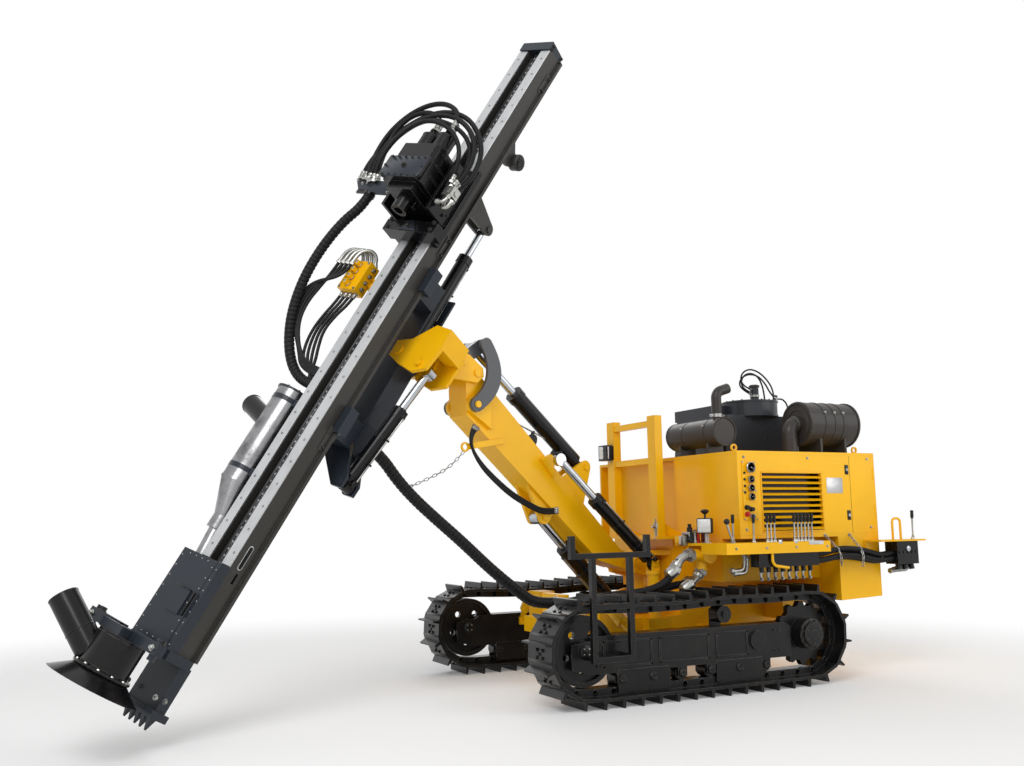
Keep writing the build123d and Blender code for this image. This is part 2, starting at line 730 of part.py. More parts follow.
with BuildPart() as head_link:
    for flank in (-1, 1):
        with BuildSketch(boom_plane(flank * 66)) as plate:
            with Locations(rocker_top):
                Circle(44)
            with Locations(link_pin):
                Circle(40)
            make_hull()
        extrude(plate.sketch, amount=20, both=True)
    pin(boom_plane(), link_pin, 20, 60)
    pin(boom_plane(), rocker_top, rocker_pin + 0.05, 200, mode=Mode.SUBTRACT)

# Boom head: cheeks on the head pin, nose block, and the two plates that hold the cradle

swing_rod_eye = (222.0, -65.0)
with BuildPart() as boom_head:
    for flank in (-1, 1):
        slab(
            boom_plane(flank * 106),
            [(head_pin[0] - 55, head_pin[1] - 20), (head_pin[0], head_pin[1] - 65),
             (head_pin[0] + 60, head_pin[1] - 60), (2060, 2060), (2060, 2260), (1900, 2260),
             (link_pin[0] + 10, link_pin[1] + 62), (link_pin[0] - 50, link_pin[1] + 45),
             (head_pin[0] - 50, head_pin[1] + 35)],
            13,
        )
    block(boom_plane(), 1930, 2060, 2060, 2260, 106)
    slab(
        feed_plane(-120),
        [(-60, 60), (40, -80), (190, -120), (300, -80), (320, 120), (200, 230), (40, 230), (-60, 120)],
        12,
    )
    slab(
        feed_plane(98),
        [(-50, 60), (-50, -50), (40, -90), (190, -130), (290, -90), (320, 60), (320, 200), (190, 215), (60, 90)],
        13,
    )
    slab(feed_plane(0), [(205, 60), (320, 60), (320, 200), (205, 200)], 110)
    pin(boom_plane(), head_pin, 26, 130)
    pin_ends(110, 130, link_pin, 26)
    slab(feed_plane(0), [(-400, -400), (204, -400), (204, 400), (-400, 400)], 85, mode=Mode.SUBTRACT)
    pin(feed_plane(), (0, 0), 34, 122)
    for flank in (-1, 1):
        pin(feed_plane(flank * 121), swing_rod_eye, cylinder_pin, 10)

# Cradle: box beam on the boom head, its slide clamps and the bracket of the feed swing cylinder

cradle_left, cradle_right = -160.0, 40.0
cradle_low, cradle_high = -700.0, 500.0
cradle_half = 74.0
feed_swing_base = (100.0, -900.0)
flange_thick = 20.0
flange_wide = 24.0
clamp_places = [408.0, -617.0]
clamp_half = 85.0
with BuildPart() as cradle:
    slab(
        feed_plane(),
        [(cradle_left, cradle_low), (cradle_right - 30, cradle_low), (cradle_right, -500), (cradle_right, -80),
         (60, -50), (60, 50), (cradle_right, 80), (cradle_right, cradle_high), (cradle_left, cradle_high)],
        cradle_half,
    )
    block(feed_plane(), cradle_left + 30, 80, 90, cradle_high + 1, cradle_half - 14, mode=Mode.SUBTRACT)
    pin(feed_plane(), (0, 0), 34.05, 200, mode=Mode.SUBTRACT)
    for flank in (-1, 1):
        slab(
            feed_plane(flank * 60),
            [(cradle_left + 40, -600), (cradle_right - 25, -640), (feed_swing_base[0] + 45, feed_swing_base[1] + 30),
             (feed_swing_base[0] + 40, feed_swing_base[1] - 40), (feed_swing_base[0] - 45, feed_swing_base[1] - 40),
             (cradle_left + 40, -780)],
            10,
        )
    pin(feed_plane(), feed_swing_base, cylinder_pin, 75)
    for m in clamp_places:
        block(feed_section(m - clamp_half), cradle_half - 1, beam_back - 28, cradle_left, cradle_right,
              2 * clamp_half, both=False)
        block(feed_section(m - clamp_half), beam_back - 30, beam_back - 5, beam_left - 60, beam_right + 60,
              2 * clamp_half, both=False)
        for left, lip, right in (
            (beam_left - 60, beam_left - 6, beam_left - 30),
            (beam_right + 60, beam_right + 6, beam_right + 30),
        ):
            block(feed_section(m - clamp_half), beam_back - 30, beam_back + 40, left, right,
                  2 * clamp_half, both=False)
            block(feed_section(m - clamp_half), beam_back + flange_thick + 5, beam_back + 40, left, lip,
                  2 * clamp_half, both=False)

feed_swing_barrel, feed_swing_rod = cylinder_pair(
    feed_point(*feed_swing_base, 0), feed_point(*swing_rod_eye, 0), 560, 290, 44, 26, 40, 32, feed_face
)

# Feed extension cylinder: its barrel lies in the cradle and its rod holds the beam's bracket

extension_w = -20.0
extension_top = 811.0
extension_eye = 1060.0
with BuildPart() as extension_barrel:
    bar(feed_point(extension_w, 90, 0), feed_point(extension_w, extension_top, 0), 46)
    bar(feed_point(extension_w, extension_top - 50, 0), feed_point(extension_w, extension_top, 0), 52)
    bar(feed_point(extension_w, 110, 0), feed_point(extension_w, extension_top + 1, 0), 27, mode=Mode.SUBTRACT)
with BuildPart() as extension_rod:
    bar(feed_point(extension_w, 225, 0), feed_point(extension_w, extension_eye - 30, 0), 26)
    bar(feed_point(extension_w - 30, extension_eye, 0), feed_point(extension_w + 30, extension_eye, 0), 38)

# Feed beam: channel with flanges at the back, wear rails, chain, and its end covers


def feed_flank(w):
    """Plane along the feed at the width w, drawn in depth and length."""
    return Plane(origin=cradle_pin + feed_side * w, x_dir=feed_face, z_dir=feed_side * -1)


beam_mid = (beam_left + beam_right) / 2
groove_half = 56.0
with BuildPart() as feed_beam:
    block(feed_section(beam_foot), beam_back, beam_front, beam_left, beam_right, beam_top - beam_foot, both=False)
    block(
        feed_section(beam_foot - 1), beam_front - 60, beam_front + 1, beam_mid - groove_half,
        beam_mid + groove_half, beam_top - beam_foot + 2, both=False, mode=Mode.SUBTRACT,
    )
    block(
        feed_section(beam_foot), beam_back, beam_back + flange_thick, beam_left - flange_wide,
        beam_right + flange_wide, beam_top - beam_foot, both=False,
    )
    for w in (extension_w - 40, extension_w + 40):
        lug(
            feed_flank(w), (0, extension_eye), 42,
            [(beam_back + 5, extension_eye - 60), (beam_back + 5, extension_eye + 120)], 9.9,
        )
    bar(feed_point(extension_w - 62, extension_eye, 0), feed_point(extension_w - 45, extension_eye, 0), 24)
    bar(feed_point(extension_w + 45, extension_eye, 0), feed_point(extension_w + 62, extension_eye, 0), 24)
    slab(feed_flank(70), [(275, 1420), (275, 1640), (200, 1560), (120, 1530), (120, 1490), (200, 1440)], 9)
    bar(feed_point(60, 1515, 153), feed_point(112, 1515, 153), 55)
    slab(
        feed_flank(beam_right), [(330, -1713), (350, -1713), (350, -1653), (330, -1653)], 30, mode=Mode.SUBTRACT
    )

rail_thick = 8.0
travel_low, travel_high = -1640.0, 2280.0
with BuildPart() as feed_rails:
    for left, right in ((beam_left, beam_left + 70), (beam_right - 70, beam_right)):
        block(
            feed_section(travel_low), beam_front, beam_front + rail_thick, left, right,
            travel_high - travel_low, both=False,
        )

with BuildPart() as feed_chain:
    block(feed_section(travel_low), beam_front - 38, beam_front - 10, beam_mid + 8, beam_mid + 44,
          travel_high - travel_low, both=False)
    block(feed_section(travel_low), beam_front - 60, beam_front - 38, beam_mid + 16, beam_mid + 36,
          travel_high - travel_low, both=False)
    bar(feed_point(beam_mid - 28, travel_low, beam_front - 43),
        feed_point(beam_mid - 28, travel_high, beam_front - 43), 17)

cover_low, cover_high = -2150.0, -1650.0
with BuildPart() as beam_covers:
    block(feed_section(beam_top), beam_back + 10, beam_front + 18, beam_left, beam_right, 54, both=False)
    block(feed_section(beam_top - 15), beam_front + rail_thick, beam_front + 18, beam_left, beam_right, 20, both=False)
    block(feed_section(cover_low), beam_front, beam_front + 75, beam_left - 70, beam_right + 12,
          cover_high - cover_low, both=False)
    block(feed_section(cover_low - 1), beam_front - 1, beam_front + 67, beam_left - 62, beam_right + 4,
          cover_high - cover_low - 7, both=False, mode=Mode.SUBTRACT)
    block(feed_plane(beam_front + 80), beam_mid - 60, beam_mid + 60, -1980, -1840, 8)

guide_low = beam_foot - 50
tooth_places = [-100.0, -50.0, 0.0, 50.0, 100.0]
with BuildPart() as foot_bracket:
    block(feed_section(guide_low), beam_back + 20, beam_front + 60, beam_left - 20, beam_right + 20, 50, both=False)
    block(feed_section(guide_low), beam_front + 40, drill_n + 110, drill_w - 90, drill_w + 90, 50, both=False)
    block(feed_section(guide_low), drill_n - 30, drill_n + 30, drill_w - 330, drill_w + 300, 60, both=False)
    bar(feed_point(drill_w, guide_low - 10, drill_n), feed_point(drill_w, beam_foot + 20, drill_n), 62,
        mode=Mode.SUBTRACT)
    for w in (drill_w - 300, drill_w + 270):
        bar(feed_point(w, guide_low - 30, drill_n), feed_point(w, beam_foot + 30, drill_n), 20)
    block(feed_section(beam_foot - 300), beam_back - 10, beam_back + 60, beam_left, beam_right, 260, both=False)
    block(feed_section(beam_foot - 330), beam_back - 30, beam_back + 90, beam_left - 20, beam_right + 20, 40,
          both=False)
    for w in tooth_places:
        with BuildSketch(feed_section(beam_foot - 325)) as root:
            with Locations((beam_back + 30, beam_mid + w)):
                Rectangle(44, 36)
        with BuildSketch(feed_section(beam_foot - 395)) as tip:
            with Locations((beam_back + 30, beam_mid + w)):
                Rectangle(8, 8)
        loft([root.sketch.face(), tip.sketch.face()])

hood_high, hood_low, skirt_low = guide_low, guide_low - 190, guide_low - 270
dust_wall = 8.0
pipe_foot = feed_point(drill_w - 80, hood_high - 130, drill_n + 60)
pipe_way = (feed_side * -0.7 + feed_up * 0.5 + feed_face * 0.5).normalized()


def skirt(radius, high, low, mode=Mode.ADD):
    """Add or cut the flaring skirt of the dust hood."""
    with BuildSketch(feed_section(high)) as narrow:
        with Locations((drill_n, drill_w)):
            Circle(radius)
    with BuildSketch(feed_section(low)) as wide:
        with Locations((drill_n, drill_w)):
            Circle(radius + 115)
    loft([narrow.sketch.face(), wide.sketch.face()], mode=mode)


with BuildPart() as dust_hood:
    bar(feed_point(drill_w, hood_high, drill_n), feed_point(drill_w, hood_low, drill_n), 130)
    skirt(135, hood_low, skirt_low)
    bar(pipe_foot, pipe_foot + pipe_way * 330, 76)
    bar(pipe_foot + pipe_way * 60, pipe_foot + pipe_way * 331, 69, mode=Mode.SUBTRACT)
    bar(feed_point(drill_w, hood_high - dust_wall, drill_n), feed_point(drill_w, hood_low - 1, drill_n),
        130 - dust_wall, mode=Mode.SUBTRACT)
    skirt(135 - dust_wall, hood_low + 1, skirt_low - 1, mode=Mode.SUBTRACT)
    bar(feed_point(drill_w, hood_high + 1, drill_n), feed_point(drill_w, hood_high - 20, drill_n), 58,
        mode=Mode.SUBTRACT)

# Dust separator and hydraulic block on the far side of the beam

tube_w, tube_n, tube_radius = -347.0, 330.0, 105.0
with BuildPart() as dust_separator:
    bar(feed_point(tube_w, -1190, tube_n), feed_point(tube_w, -560, tube_n), tube_radius)
    with BuildSketch(feed_section(-1190)) as wide:
        with Locations((tube_n, tube_w)):
            Circle(tube_radius)
    with BuildSketch(feed_section(-1420)) as narrow:
        with Locations((tube_n, tube_w + 60)):
            Circle(52)
    loft([wide.sketch.face(), narrow.sketch.face()])
    bar(feed_point(tube_w + 60, -1400, tube_n), feed_point(tube_w + 60, -1480, tube_n), 60)
    bar(feed_point(tube_w + 62, -1470, tube_n), feed_point(tube_w + 112, -1900, tube_n), 44)
    bar(feed_point(tube_w - 60, -770, tube_n), feed_point(tube_w - 298, -690, tube_n), 62)
    for m in (-680, -1080):
        block(feed_plane(tube_n + 5), tube_w + 60, beam_left, m - 30, m + 30, 10)

with BuildPart() as hydraulic_block:
    block(feed_plane(385), beam_left - 268, beam_left - 108, 180, 400, 45)
    for m in (215, 265, 315, 365):
        bar(feed_point(beam_left - 188, m, 425), feed_point(beam_left - 188, m, 470), 17)
        bar(feed_point(beam_left - 260, m, 385), feed_point(beam_left - 300, m, 385), 15)
    block(feed_plane(335), beam_left - 120, beam_left, 250, 330, 10)

# Drill head: carriage on the rails, gearbox with its two motors, and the spindle

carriage_low, carriage_high = 600.0, 1160.0
carriage_n = beam_front + rail_thick + 5
with BuildPart() as head_carriage:
    block(feed_plane(carriage_n + 16), beam_left - 85, beam_right + 92, carriage_low, carriage_high, 16)
    block(feed_plane(carriage_n + 60), beam_left - 85, beam_right + 92, carriage_low, carriage_low + 80, 40)
    for left, right in ((beam_left - 43, beam_left - 7), (beam_right + 7, beam_right + 43)):
        block(feed_plane(carriage_n - 20), left, right, carriage_low, carriage_high, 28)
    for left, right in ((beam_left - 73, beam_left - 53), (beam_right + 53, beam_right + 73)):
        block(feed_plane(carriage_n + 120), left, right, 700, 1080, 100)
    block(feed_plane(618), -560, beam_left - 60, 790, 890, 6)
    bar(feed_point(-430, 792, 618), feed_point(-430, 770, 618), 38)

gearbox_low, gearbox_high = 800.0, 1080.0
gear_left, gear_right, gear_n = beam_left - 43, beam_right + 22, 780.0
motor_n = 690.0
# Half profile of a motor, out from its axis and up from the gearbox
motor_profile = [(0, -5), (66, -5), (66, 22), (60, 30), (60, 118), (52, 134), (34, 140), (34, 175), (0, 175)]
motor_places = [-112.0, 22.0]
chuck_radius, bore_radius = 52.0, 30.0
with BuildPart() as drill_gearbox:
    slab(
        feed_section(gearbox_low),
        [(carriage_n + 32, gear_left), (carriage_n + 32, gear_right), (gear_n - 26, gear_right),
         (gear_n, gear_right - 26), (gear_n, gear_left + 26), (gear_n - 26, gear_left)],
        gearbox_high - gearbox_low,
        both=False,
    )
    block(feed_section(gearbox_low - 60), 520, 750, beam_left + 22, beam_right - 23, 70, both=False)
    slab(
        feed_plane(gear_n + 7),
        [(gear_left - 10, gearbox_low + 20), (gear_left + 15, gearbox_low - 5), (gear_right - 15, gearbox_low - 5),
         (gear_right + 10, gearbox_low + 20), (gear_right + 10, gearbox_low + 160), (gear_left - 10, gearbox_low + 160)],
        9,
    )
    for w in motor_places:
        with BuildSketch(feed_flank(w)) as section:
            with BuildLine():
                Polyline(*[(motor_n + reach, gearbox_high + high) for reach, high in motor_profile], close=True)
            make_face()
        revolve(section.sketch, axis=Axis(feed_point(w, gearbox_high, motor_n), feed_up))
    for flank, w in ((-1, gear_left), (1, gear_right)):
        for m in (gearbox_low + 70, gearbox_low + 150, gearbox_low + 230):
            block(feed_section(m), carriage_n + 60, gear_n - 60, w - 8, w + 8, 14, both=False)
    bar(feed_point(drill_w, gearbox_low - 61, drill_n), feed_point(drill_w, gearbox_low + 20, drill_n), 30.05,
        mode=Mode.SUBTRACT)

with BuildPart() as drill_spindle:
    bar(feed_point(drill_w, 646, drill_n), feed_point(drill_w, gearbox_low - 62, drill_n), chuck_radius)
    bar(feed_point(drill_w, gearbox_low - 65, drill_n), feed_point(drill_w, gearbox_low + 15, drill_n), 30)
    bar(feed_point(drill_w, 640, drill_n), feed_point(drill_w, 706, drill_n), bore_radius, mode=Mode.SUBTRACT)

# Hoses: from the chassis to the cradle, from the boom to its head, and down the feed

main_route = [
    feed_point(-60, -570, -cradle_half), feed_point(-60, -570, -cradle_half - 220), Vector(940, 345, 1420),
    Vector(820, 330, 1300), Vector(670, 315, 1175), Vector(470, 300, 1015), Vector(250, 280, 825), Vector(30, 262, 662),
    Vector(-95, 250, 585), Vector(-250, 250, 585),
]
feed_route = [
    feed_point(-430, 770, 618), feed_point(-430, 680, 618), feed_point(-490, 540, 630), feed_point(-540, 330, 620),
    feed_point(-560, 100, 590), feed_point(-545, -130, 530), feed_point(-490, -310, 455), feed_point(-400, -430, 395),
    feed_point(-275, -480, 362), feed_point(beam_left, -480, 362),
]

cords = {}
for name, route, radius in (("main_hose", main_route, 38.0), ("feed_hose", feed_route, 32.0)):
    radii = arc_radii(route)
    with BuildPart() as cord:
        bent_bar(route, radii, radius)
    cords[name] = cord
    runs = [(after - before).length for before, after in zip(route, route[1:])]
    print(name, "radii", [round(r) for r in radii], "runs", [round(run) for run in runs])

# Place the origin on the ground under the middle of the whole, and export

pieces = {
    **tracks,
    **frames,
    "idlers": idlers,
    "sprockets": sprockets,
    "track_rollers": track_rollers,
    "step_rack": step_rack,
    "main_frame": main_frame,
    "levelling_cylinders": levelling_cylinders,
    "lower_body": lower_body,
    **hood_panels,
    "hood_ends": hood_ends,
    "hood_roof": hood_roof,
    "radiator_core": radiator_core,
    "engine_block": engine_block,
    "muffler": muffler,
    "dust_collector": dust_collector,
    "air_filter": air_filter,
    "portal": portal,
    "work_lamps": work_lamps,
    "control_shelf": control_shelf,
    "control_levers": control_levers,
    "gauge_panel": gauge_panel,
    "control_valves": control_valves,
    "air_valve": air_valve,
    "side_hoses": side_hoses,
    "swing_post": swing_post,
    "boom": boom,
    "lift_barrel": lift_barrel,
    "lift_rod": lift_rod,
    "tilt_barrel": tilt_barrel,
    "tilt_rod": tilt_rod,
    "swing_anchor": swing_anchor,
    "swing_barrel": swing_barrel,
    "swing_rod": swing_rod,
    "rocker": rocker,
    "head_link": head_link,
    "boom_head": boom_head,
    "cradle": cradle,
    "feed_swing_barrel": feed_swing_barrel,
    "feed_swing_rod": feed_swing_rod,
    "extension_barrel": extension_barrel,
    "extension_rod": extension_rod,
    "feed_beam": feed_beam,
    "feed_rails": feed_rails,
    "feed_chain": feed_chain,
    "beam_covers": beam_covers,
    "foot_bracket": foot_bracket,
    "dust_hood": dust_hood,
    "dust_separator": dust_separator,
    "hydraulic_block": hydraulic_block,
    "head_carriage": head_carriage,
    "drill_gearbox": drill_gearbox,
    "drill_spindle": drill_spindle,
    **cords,
}
boxes = [piece.part.bounding_box() for piece in pieces.values()]
middle_x = (min(box.min.X for box in boxes) + max(box.max.X for box in boxes)) / 2
middle_y = (min(box.min.Y for box in boxes) + max(box.max.Y for box in boxes)) / 2
ground_z = min(box.min.Z for box in boxes)
print("origin", round(middle_x, 3), round(middle_y, 3), round(ground_z, 3))

os.makedirs("parts", exist_ok=True)
for name, piece in pieces.items():
    placed = Pos(-middle_x, -middle_y, -ground_z) * piece.part
    placed.label = name
    export_step(placed, f"parts/{name}.step")
    print(name, round(placed.volume / 1e6, 2), len(placed.solids()), placed.is_valid)
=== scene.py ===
"""Looks of the crawler drilling rig: finishes, hoses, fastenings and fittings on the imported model."""

import math

import bmesh
import bpy
from bpy.props import FloatProperty, FloatVectorProperty, PointerProperty
from mathutils import Matrix, Vector


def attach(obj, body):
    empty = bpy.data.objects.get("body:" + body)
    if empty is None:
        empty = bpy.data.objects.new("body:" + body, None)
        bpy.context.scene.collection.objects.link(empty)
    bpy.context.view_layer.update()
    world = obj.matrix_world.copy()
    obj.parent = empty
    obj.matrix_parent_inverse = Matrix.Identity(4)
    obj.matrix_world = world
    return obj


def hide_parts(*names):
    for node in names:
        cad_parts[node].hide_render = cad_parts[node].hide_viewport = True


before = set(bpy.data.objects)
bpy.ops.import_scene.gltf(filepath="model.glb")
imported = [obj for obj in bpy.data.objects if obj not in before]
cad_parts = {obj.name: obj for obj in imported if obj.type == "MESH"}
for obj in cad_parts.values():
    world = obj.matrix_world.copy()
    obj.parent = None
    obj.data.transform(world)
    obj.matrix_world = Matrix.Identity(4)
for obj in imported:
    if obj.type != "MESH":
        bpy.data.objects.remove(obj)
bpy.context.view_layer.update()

bl_info = {
    "name": "Crawler Drilling Rig Dressing",
    "version": (1, 0, 0),
    "blender": (4, 5, 0),
    "location": "View3D > Sidebar > Rig",
    "description": "Finishes, hoses and fittings of a crawler drilling rig",
    "category": "Object",
}

# Places are in millimetres of the machine's own axes; ORIGIN is where the frame's origin lies in them
ORIGIN = Vector((6.264, 46.385, 0.0))
TRACK_Y = 876.0
SWING_X = -1130.0
BOOM_TURN = math.radians(15.0)
CRADLE_PIN = Vector((942.0, 555.0, 2163.0))
FEED_LEAN = math.radians(58.7)
FEED_TURN = math.radians(30.0)

# Floor, in metres: half its width, and where it starts and ends to fade into the backdrop
FLOOR_REACH = 120.0
FLOOR_FADE = (3.6, 6.6)

UP, LEFT, FORWARD = Vector((0, 0, 1)), Vector((0, 1, 0)), Vector((1, 0, 0))
BOOM_OUT = Vector((math.cos(BOOM_TURN), math.sin(BOOM_TURN), 0))
BOOM_ACROSS = Vector((-math.sin(BOOM_TURN), math.cos(BOOM_TURN), 0))
FEED_UP = Vector((-math.cos(FEED_LEAN), 0, math.sin(FEED_LEAN)))
FEED_FLAT = Vector((math.sin(FEED_LEAN), 0, math.cos(FEED_LEAN)))
FEED_FACE = FEED_FLAT * math.cos(FEED_TURN) + LEFT * math.sin(FEED_TURN)
FEED_SIDE = LEFT * math.cos(FEED_TURN) - FEED_FLAT * math.sin(FEED_TURN)


# Places in millimetres, turned into metres of the frame


def machine(x, y, z):
    """A place given along the machine: x forward, y to its left, z up."""
    return (Vector((x, y, z)) - ORIGIN) / 1000


def on_boom(reach, z, off=0.0):
    """A place by its reach from the swing post along the boom, its height and its offset to the left."""
    return (Vector((SWING_X, 0, z)) + BOOM_OUT * reach + BOOM_ACROSS * off - ORIGIN) / 1000


def on_feed(w, m, n):
    """A place on the feed, from the cradle's pin: w across, m up along it, n out of its face."""
    return (CRADLE_PIN + FEED_SIDE * w + FEED_UP * m + FEED_FACE * n - ORIGIN) / 1000


def through(frame_of, *places):
    """Points of a route, all given in the same axes."""
    return [frame_of(*place) for place in places]


def seat(place, up, ahead=None):
    """Matrix with its z along up and its x as near to ahead as that allows."""
    z = Vector(up).normalized()
    ahead = Vector(ahead) if ahead is not None else UP
    if abs(z.dot(ahead.normalized())) > 0.99:
        ahead = FORWARD if abs(z.x) < 0.9 else LEFT
    x = (ahead - z * ahead.dot(z)).normalized()
    y = z.cross(x)
    turned = Matrix((x, y, z)).transposed().to_4x4()
    turned.translation = place
    return turned


# Node trees


class Wire:
    """A socket that takes part in sums."""

    def __init__(self, nodes, socket):
        self.nodes = nodes
        self.socket = socket

    def sum(self, operation, first, second):
        """A Math node on two wires or numbers."""
        return self.nodes.wire("ShaderNodeMath", {"operation": operation}, {0: first, 1: second})

    def __add__(self, other):
        return self.sum("ADD", self, other)

    def __radd__(self, other):
        return self.sum("ADD", other, self)

    def __sub__(self, other):
        return self.sum("SUBTRACT", self, other)

    def __rsub__(self, other):
        return self.sum("SUBTRACT", other, self)

    def __mul__(self, other):
        return self.sum("MULTIPLY", self, other)

    def __rmul__(self, other):
        return self.sum("MULTIPLY", other, self)

    def larger(self, other):
        """The larger of the two."""
        return self.sum("MAXIMUM", self, other)


class Nodes:
    """The nodes of one tree."""

    def __init__(self, tree):
        self.tree = tree

    def feed(self, socket, value):
        """Link a wire to a socket, or set the socket to a value."""
        if isinstance(value, Wire):
            self.tree.links.new(value.socket, socket)
        else:
            socket.default_value = value

    def node(self, kind, settings, inputs):
        """Add a node, apply its settings, then link or set its inputs."""
        made = self.tree.nodes.new(kind)
        for key, value in (settings or {}).items():
            setattr(made, key, value)
        for key, value in (inputs or {}).items():
            self.feed(made.inputs[key], value)
        return made

    def wire(self, kind, settings=None, inputs=None, output=0):
        """Add a node and return one of its outputs."""
        return Wire(self, self.node(kind, settings, inputs).outputs[output])


def opaque(colour):
    """The colour with its alpha; anything but a plain colour stays as it is."""
    return (*colour, 1) if isinstance(colour, tuple) and len(colour) == 3 else colour


class Finish(Nodes):
    """One material and its nodes."""

    def __init__(self, name):
        self.material = bpy.data.materials.new(name)
        self.material.use_nodes = True
        super().__init__(self.material.node_tree)
        self.shader = self.tree.nodes["Principled BSDF"]

    def place(self):
        """Where the point is on its own object, in metres of the frame."""
        return self.wire("ShaderNodeTexCoord", output="Object")

    def noise(self, scale, detail, rough=0.55, vector=None):
        """Noise over the object, with scale in cycles a metre."""
        inputs = {"Vector": vector or self.place(), "Scale": scale, "Detail": detail, "Roughness": rough}
        return self.wire("ShaderNodeTexNoise", None, inputs)

    def vector_sum(self, operation, first, second=None, output="Value"):
        """A Vector Math node."""
        inputs = {0: first} if second is None else {0: first, 1: second}
        return self.wire("ShaderNodeVectorMath", {"operation": operation}, inputs, output)

    def between(self, value, low, high):
        """0 below low, 1 above high and a smooth rise in between."""
        inputs = {"Value": value, "From Min": low, "From Max": high}
        return self.wire("ShaderNodeMapRange", {"interpolation_type": "SMOOTHSTEP"}, inputs)

    def blend(self, share, first, second):
        """Mix of two colours; the sockets of a colour mix have numbers, because their names repeat."""
        inputs = {0: share, 6: opaque(first), 7: opaque(second)}
        return self.wire("ShaderNodeMix", {"data_type": "RGBA"}, inputs, output=2)

    def rounded(self, radius):
        """Normal of the surface with its edges rounded."""
        return self.wire("ShaderNodeBevel", {"samples": 4}, {"Radius": radius})

    def edges(self, radius):
        """Near 1 on the outer edges that hands and gravel rub, with a broken outline."""
        bevel = self.rounded(radius)
        normal = self.wire("ShaderNodeNewGeometry", output="Normal")
        facing = self.vector_sum("DOT_PRODUCT", bevel, normal)
        return self.between(facing, 0.985, 0.90)

    def upward(self):
        """1 on faces that look up, where dust settles."""
        normal = self.wire("ShaderNodeNewGeometry", output="Normal")
        height = self.wire("ShaderNodeSeparateXYZ", None, {"Vector": normal}, output="Z")
        return self.between(height, 0.35, 0.95)

    def height(self):
        """Height on the object, in metres."""
        return self.wire("ShaderNodeSeparateXYZ", None, {"Vector": self.place()}, output="Z")

    def bump(self, height, distance, strength, rounding=0.0):
        """Normal raised by a height, with the edges rounded where rounding is set."""
        inputs = {"Height": height, "Distance": distance, "Strength": strength}
        if rounding:
            inputs["Normal"] = self.rounded(rounding)
        return self.wire("ShaderNodeBump", None, inputs)

    def set(self, **inputs):
        """Set or link the shader's sockets, named with _ for a space."""
        for key, value in inputs.items():
            self.feed(self.shader.inputs[key.replace("_", " ")], opaque(value))
        return self.material


DUST = (0.36, 0.31, 0.25)
PAINT_SHINE = 0.22
PAINT_ROUNDING = 0.0025
PEEL_DEPTH = 0.0006


def scaled(colour, share, lift=0.0):
    """A darker or brighter shade of a colour."""
    return tuple(c * share + lift for c in colour)


def painted(name, colour, under, rough, wear, dust, coat):
    """Sprayed steel: a slightly uneven coat, rubbed edges, small chips and dust that thins upward."""
    f = Finish(name)
    broad = f.noise(1.7, 3.0)
    fine = f.noise(38.0, 5.0, 0.62)
    shade = f.blend(f.between(broad, 0.3, 0.7), scaled(colour, 0.93), scaled(colour, 1.05))
    chips = f.between(fine + f.edges(0.004) * 0.42, 0.80, 0.90) * wear
    chipped = f.blend(chips, shade, under)
    low = f.between(f.height(), 1.3, 0.1)
    settled = (f.upward() * 0.55 + low * 0.45) * f.between(f.noise(6.0, 6.0, 0.6), 0.35, 0.75) * dust
    peel = f.noise(420.0, 2.0)
    dusty = f.blend(settled, chipped, DUST)
    return f.set(
        Base_Color=dusty,
        Roughness=settled * 0.5 + chips * 0.25 + fine * 0.08 + (rough - 0.04),
        Coat_Weight=(1 - settled) * coat,
        Coat_Roughness=0.12,
        Specular_IOR_Level=PAINT_SHINE,
        Normal=f.bump(peel * 0.35 + fine * 0.3, PEEL_DEPTH, 0.35, PAINT_ROUNDING),
    )


BRUSH_STRETCH = (14.0, 190.0, 14.0)


def bare_steel(name, colour, rough, brushed, dark):
    """Bare or worn steel with drawn scratches and dull, darker patches."""
    f = Finish(name)
    stretched = f.vector_sum("MULTIPLY", f.place(), BRUSH_STRETCH, output=0)
    scratch = f.noise(1.0, 5.0, 0.7, stretched)
    patch = f.between(f.noise(7.0, 6.0, 0.65), 0.38, 0.72)
    shade = f.blend(patch, colour, scaled(colour, dark))
    return f.set(
        Base_Color=shade,
        Metallic=1.0,
        Roughness=patch * 0.22 + scratch * 0.14 * brushed + rough,
        Normal=f.bump(scratch, 0.0004, 0.3 * brushed, 0.0012),
    )


def rubber(name, colour, rough=0.5, weave=0.0):
    """Hose cover: matt black with scuffs, and a faint braid where weave is set."""
    f = Finish(name)
    scuff = f.between(f.noise(24.0, 6.0, 0.65), 0.55, 0.8)
    shade = f.blend(scuff * 0.6, colour, scaled(colour, 4, 0.012))
    height = f.noise(260.0, 3.0)
    if weave:
        cells = f.wire("ShaderNodeTexVoronoi", None, {"Vector": f.place(), "Scale": 520.0})
        height = height * 0.4 + cells * weave
    return f.set(Base_Color=shade, Roughness=scuff * 0.2 + rough, Specular_IOR_Level=0.2,
                 Normal=f.bump(height, 0.0006, 0.5))


def moulded(name, colour, rough):
    """Moulded plastic or cast housing with a fine grain."""
    f = Finish(name)
    grain = f.noise(310.0, 3.0)
    broad = f.noise(9.0, 4.0)
    shade = f.blend(f.between(broad, 0.35, 0.7) * 0.5, colour, scaled(colour, 1.5, 0.01))
    return f.set(
        Base_Color=shade, Roughness=broad * 0.12 + rough, Specular_IOR_Level=0.25,
        Normal=f.bump(grain, 0.0005, 0.35, 0.0015),
    )


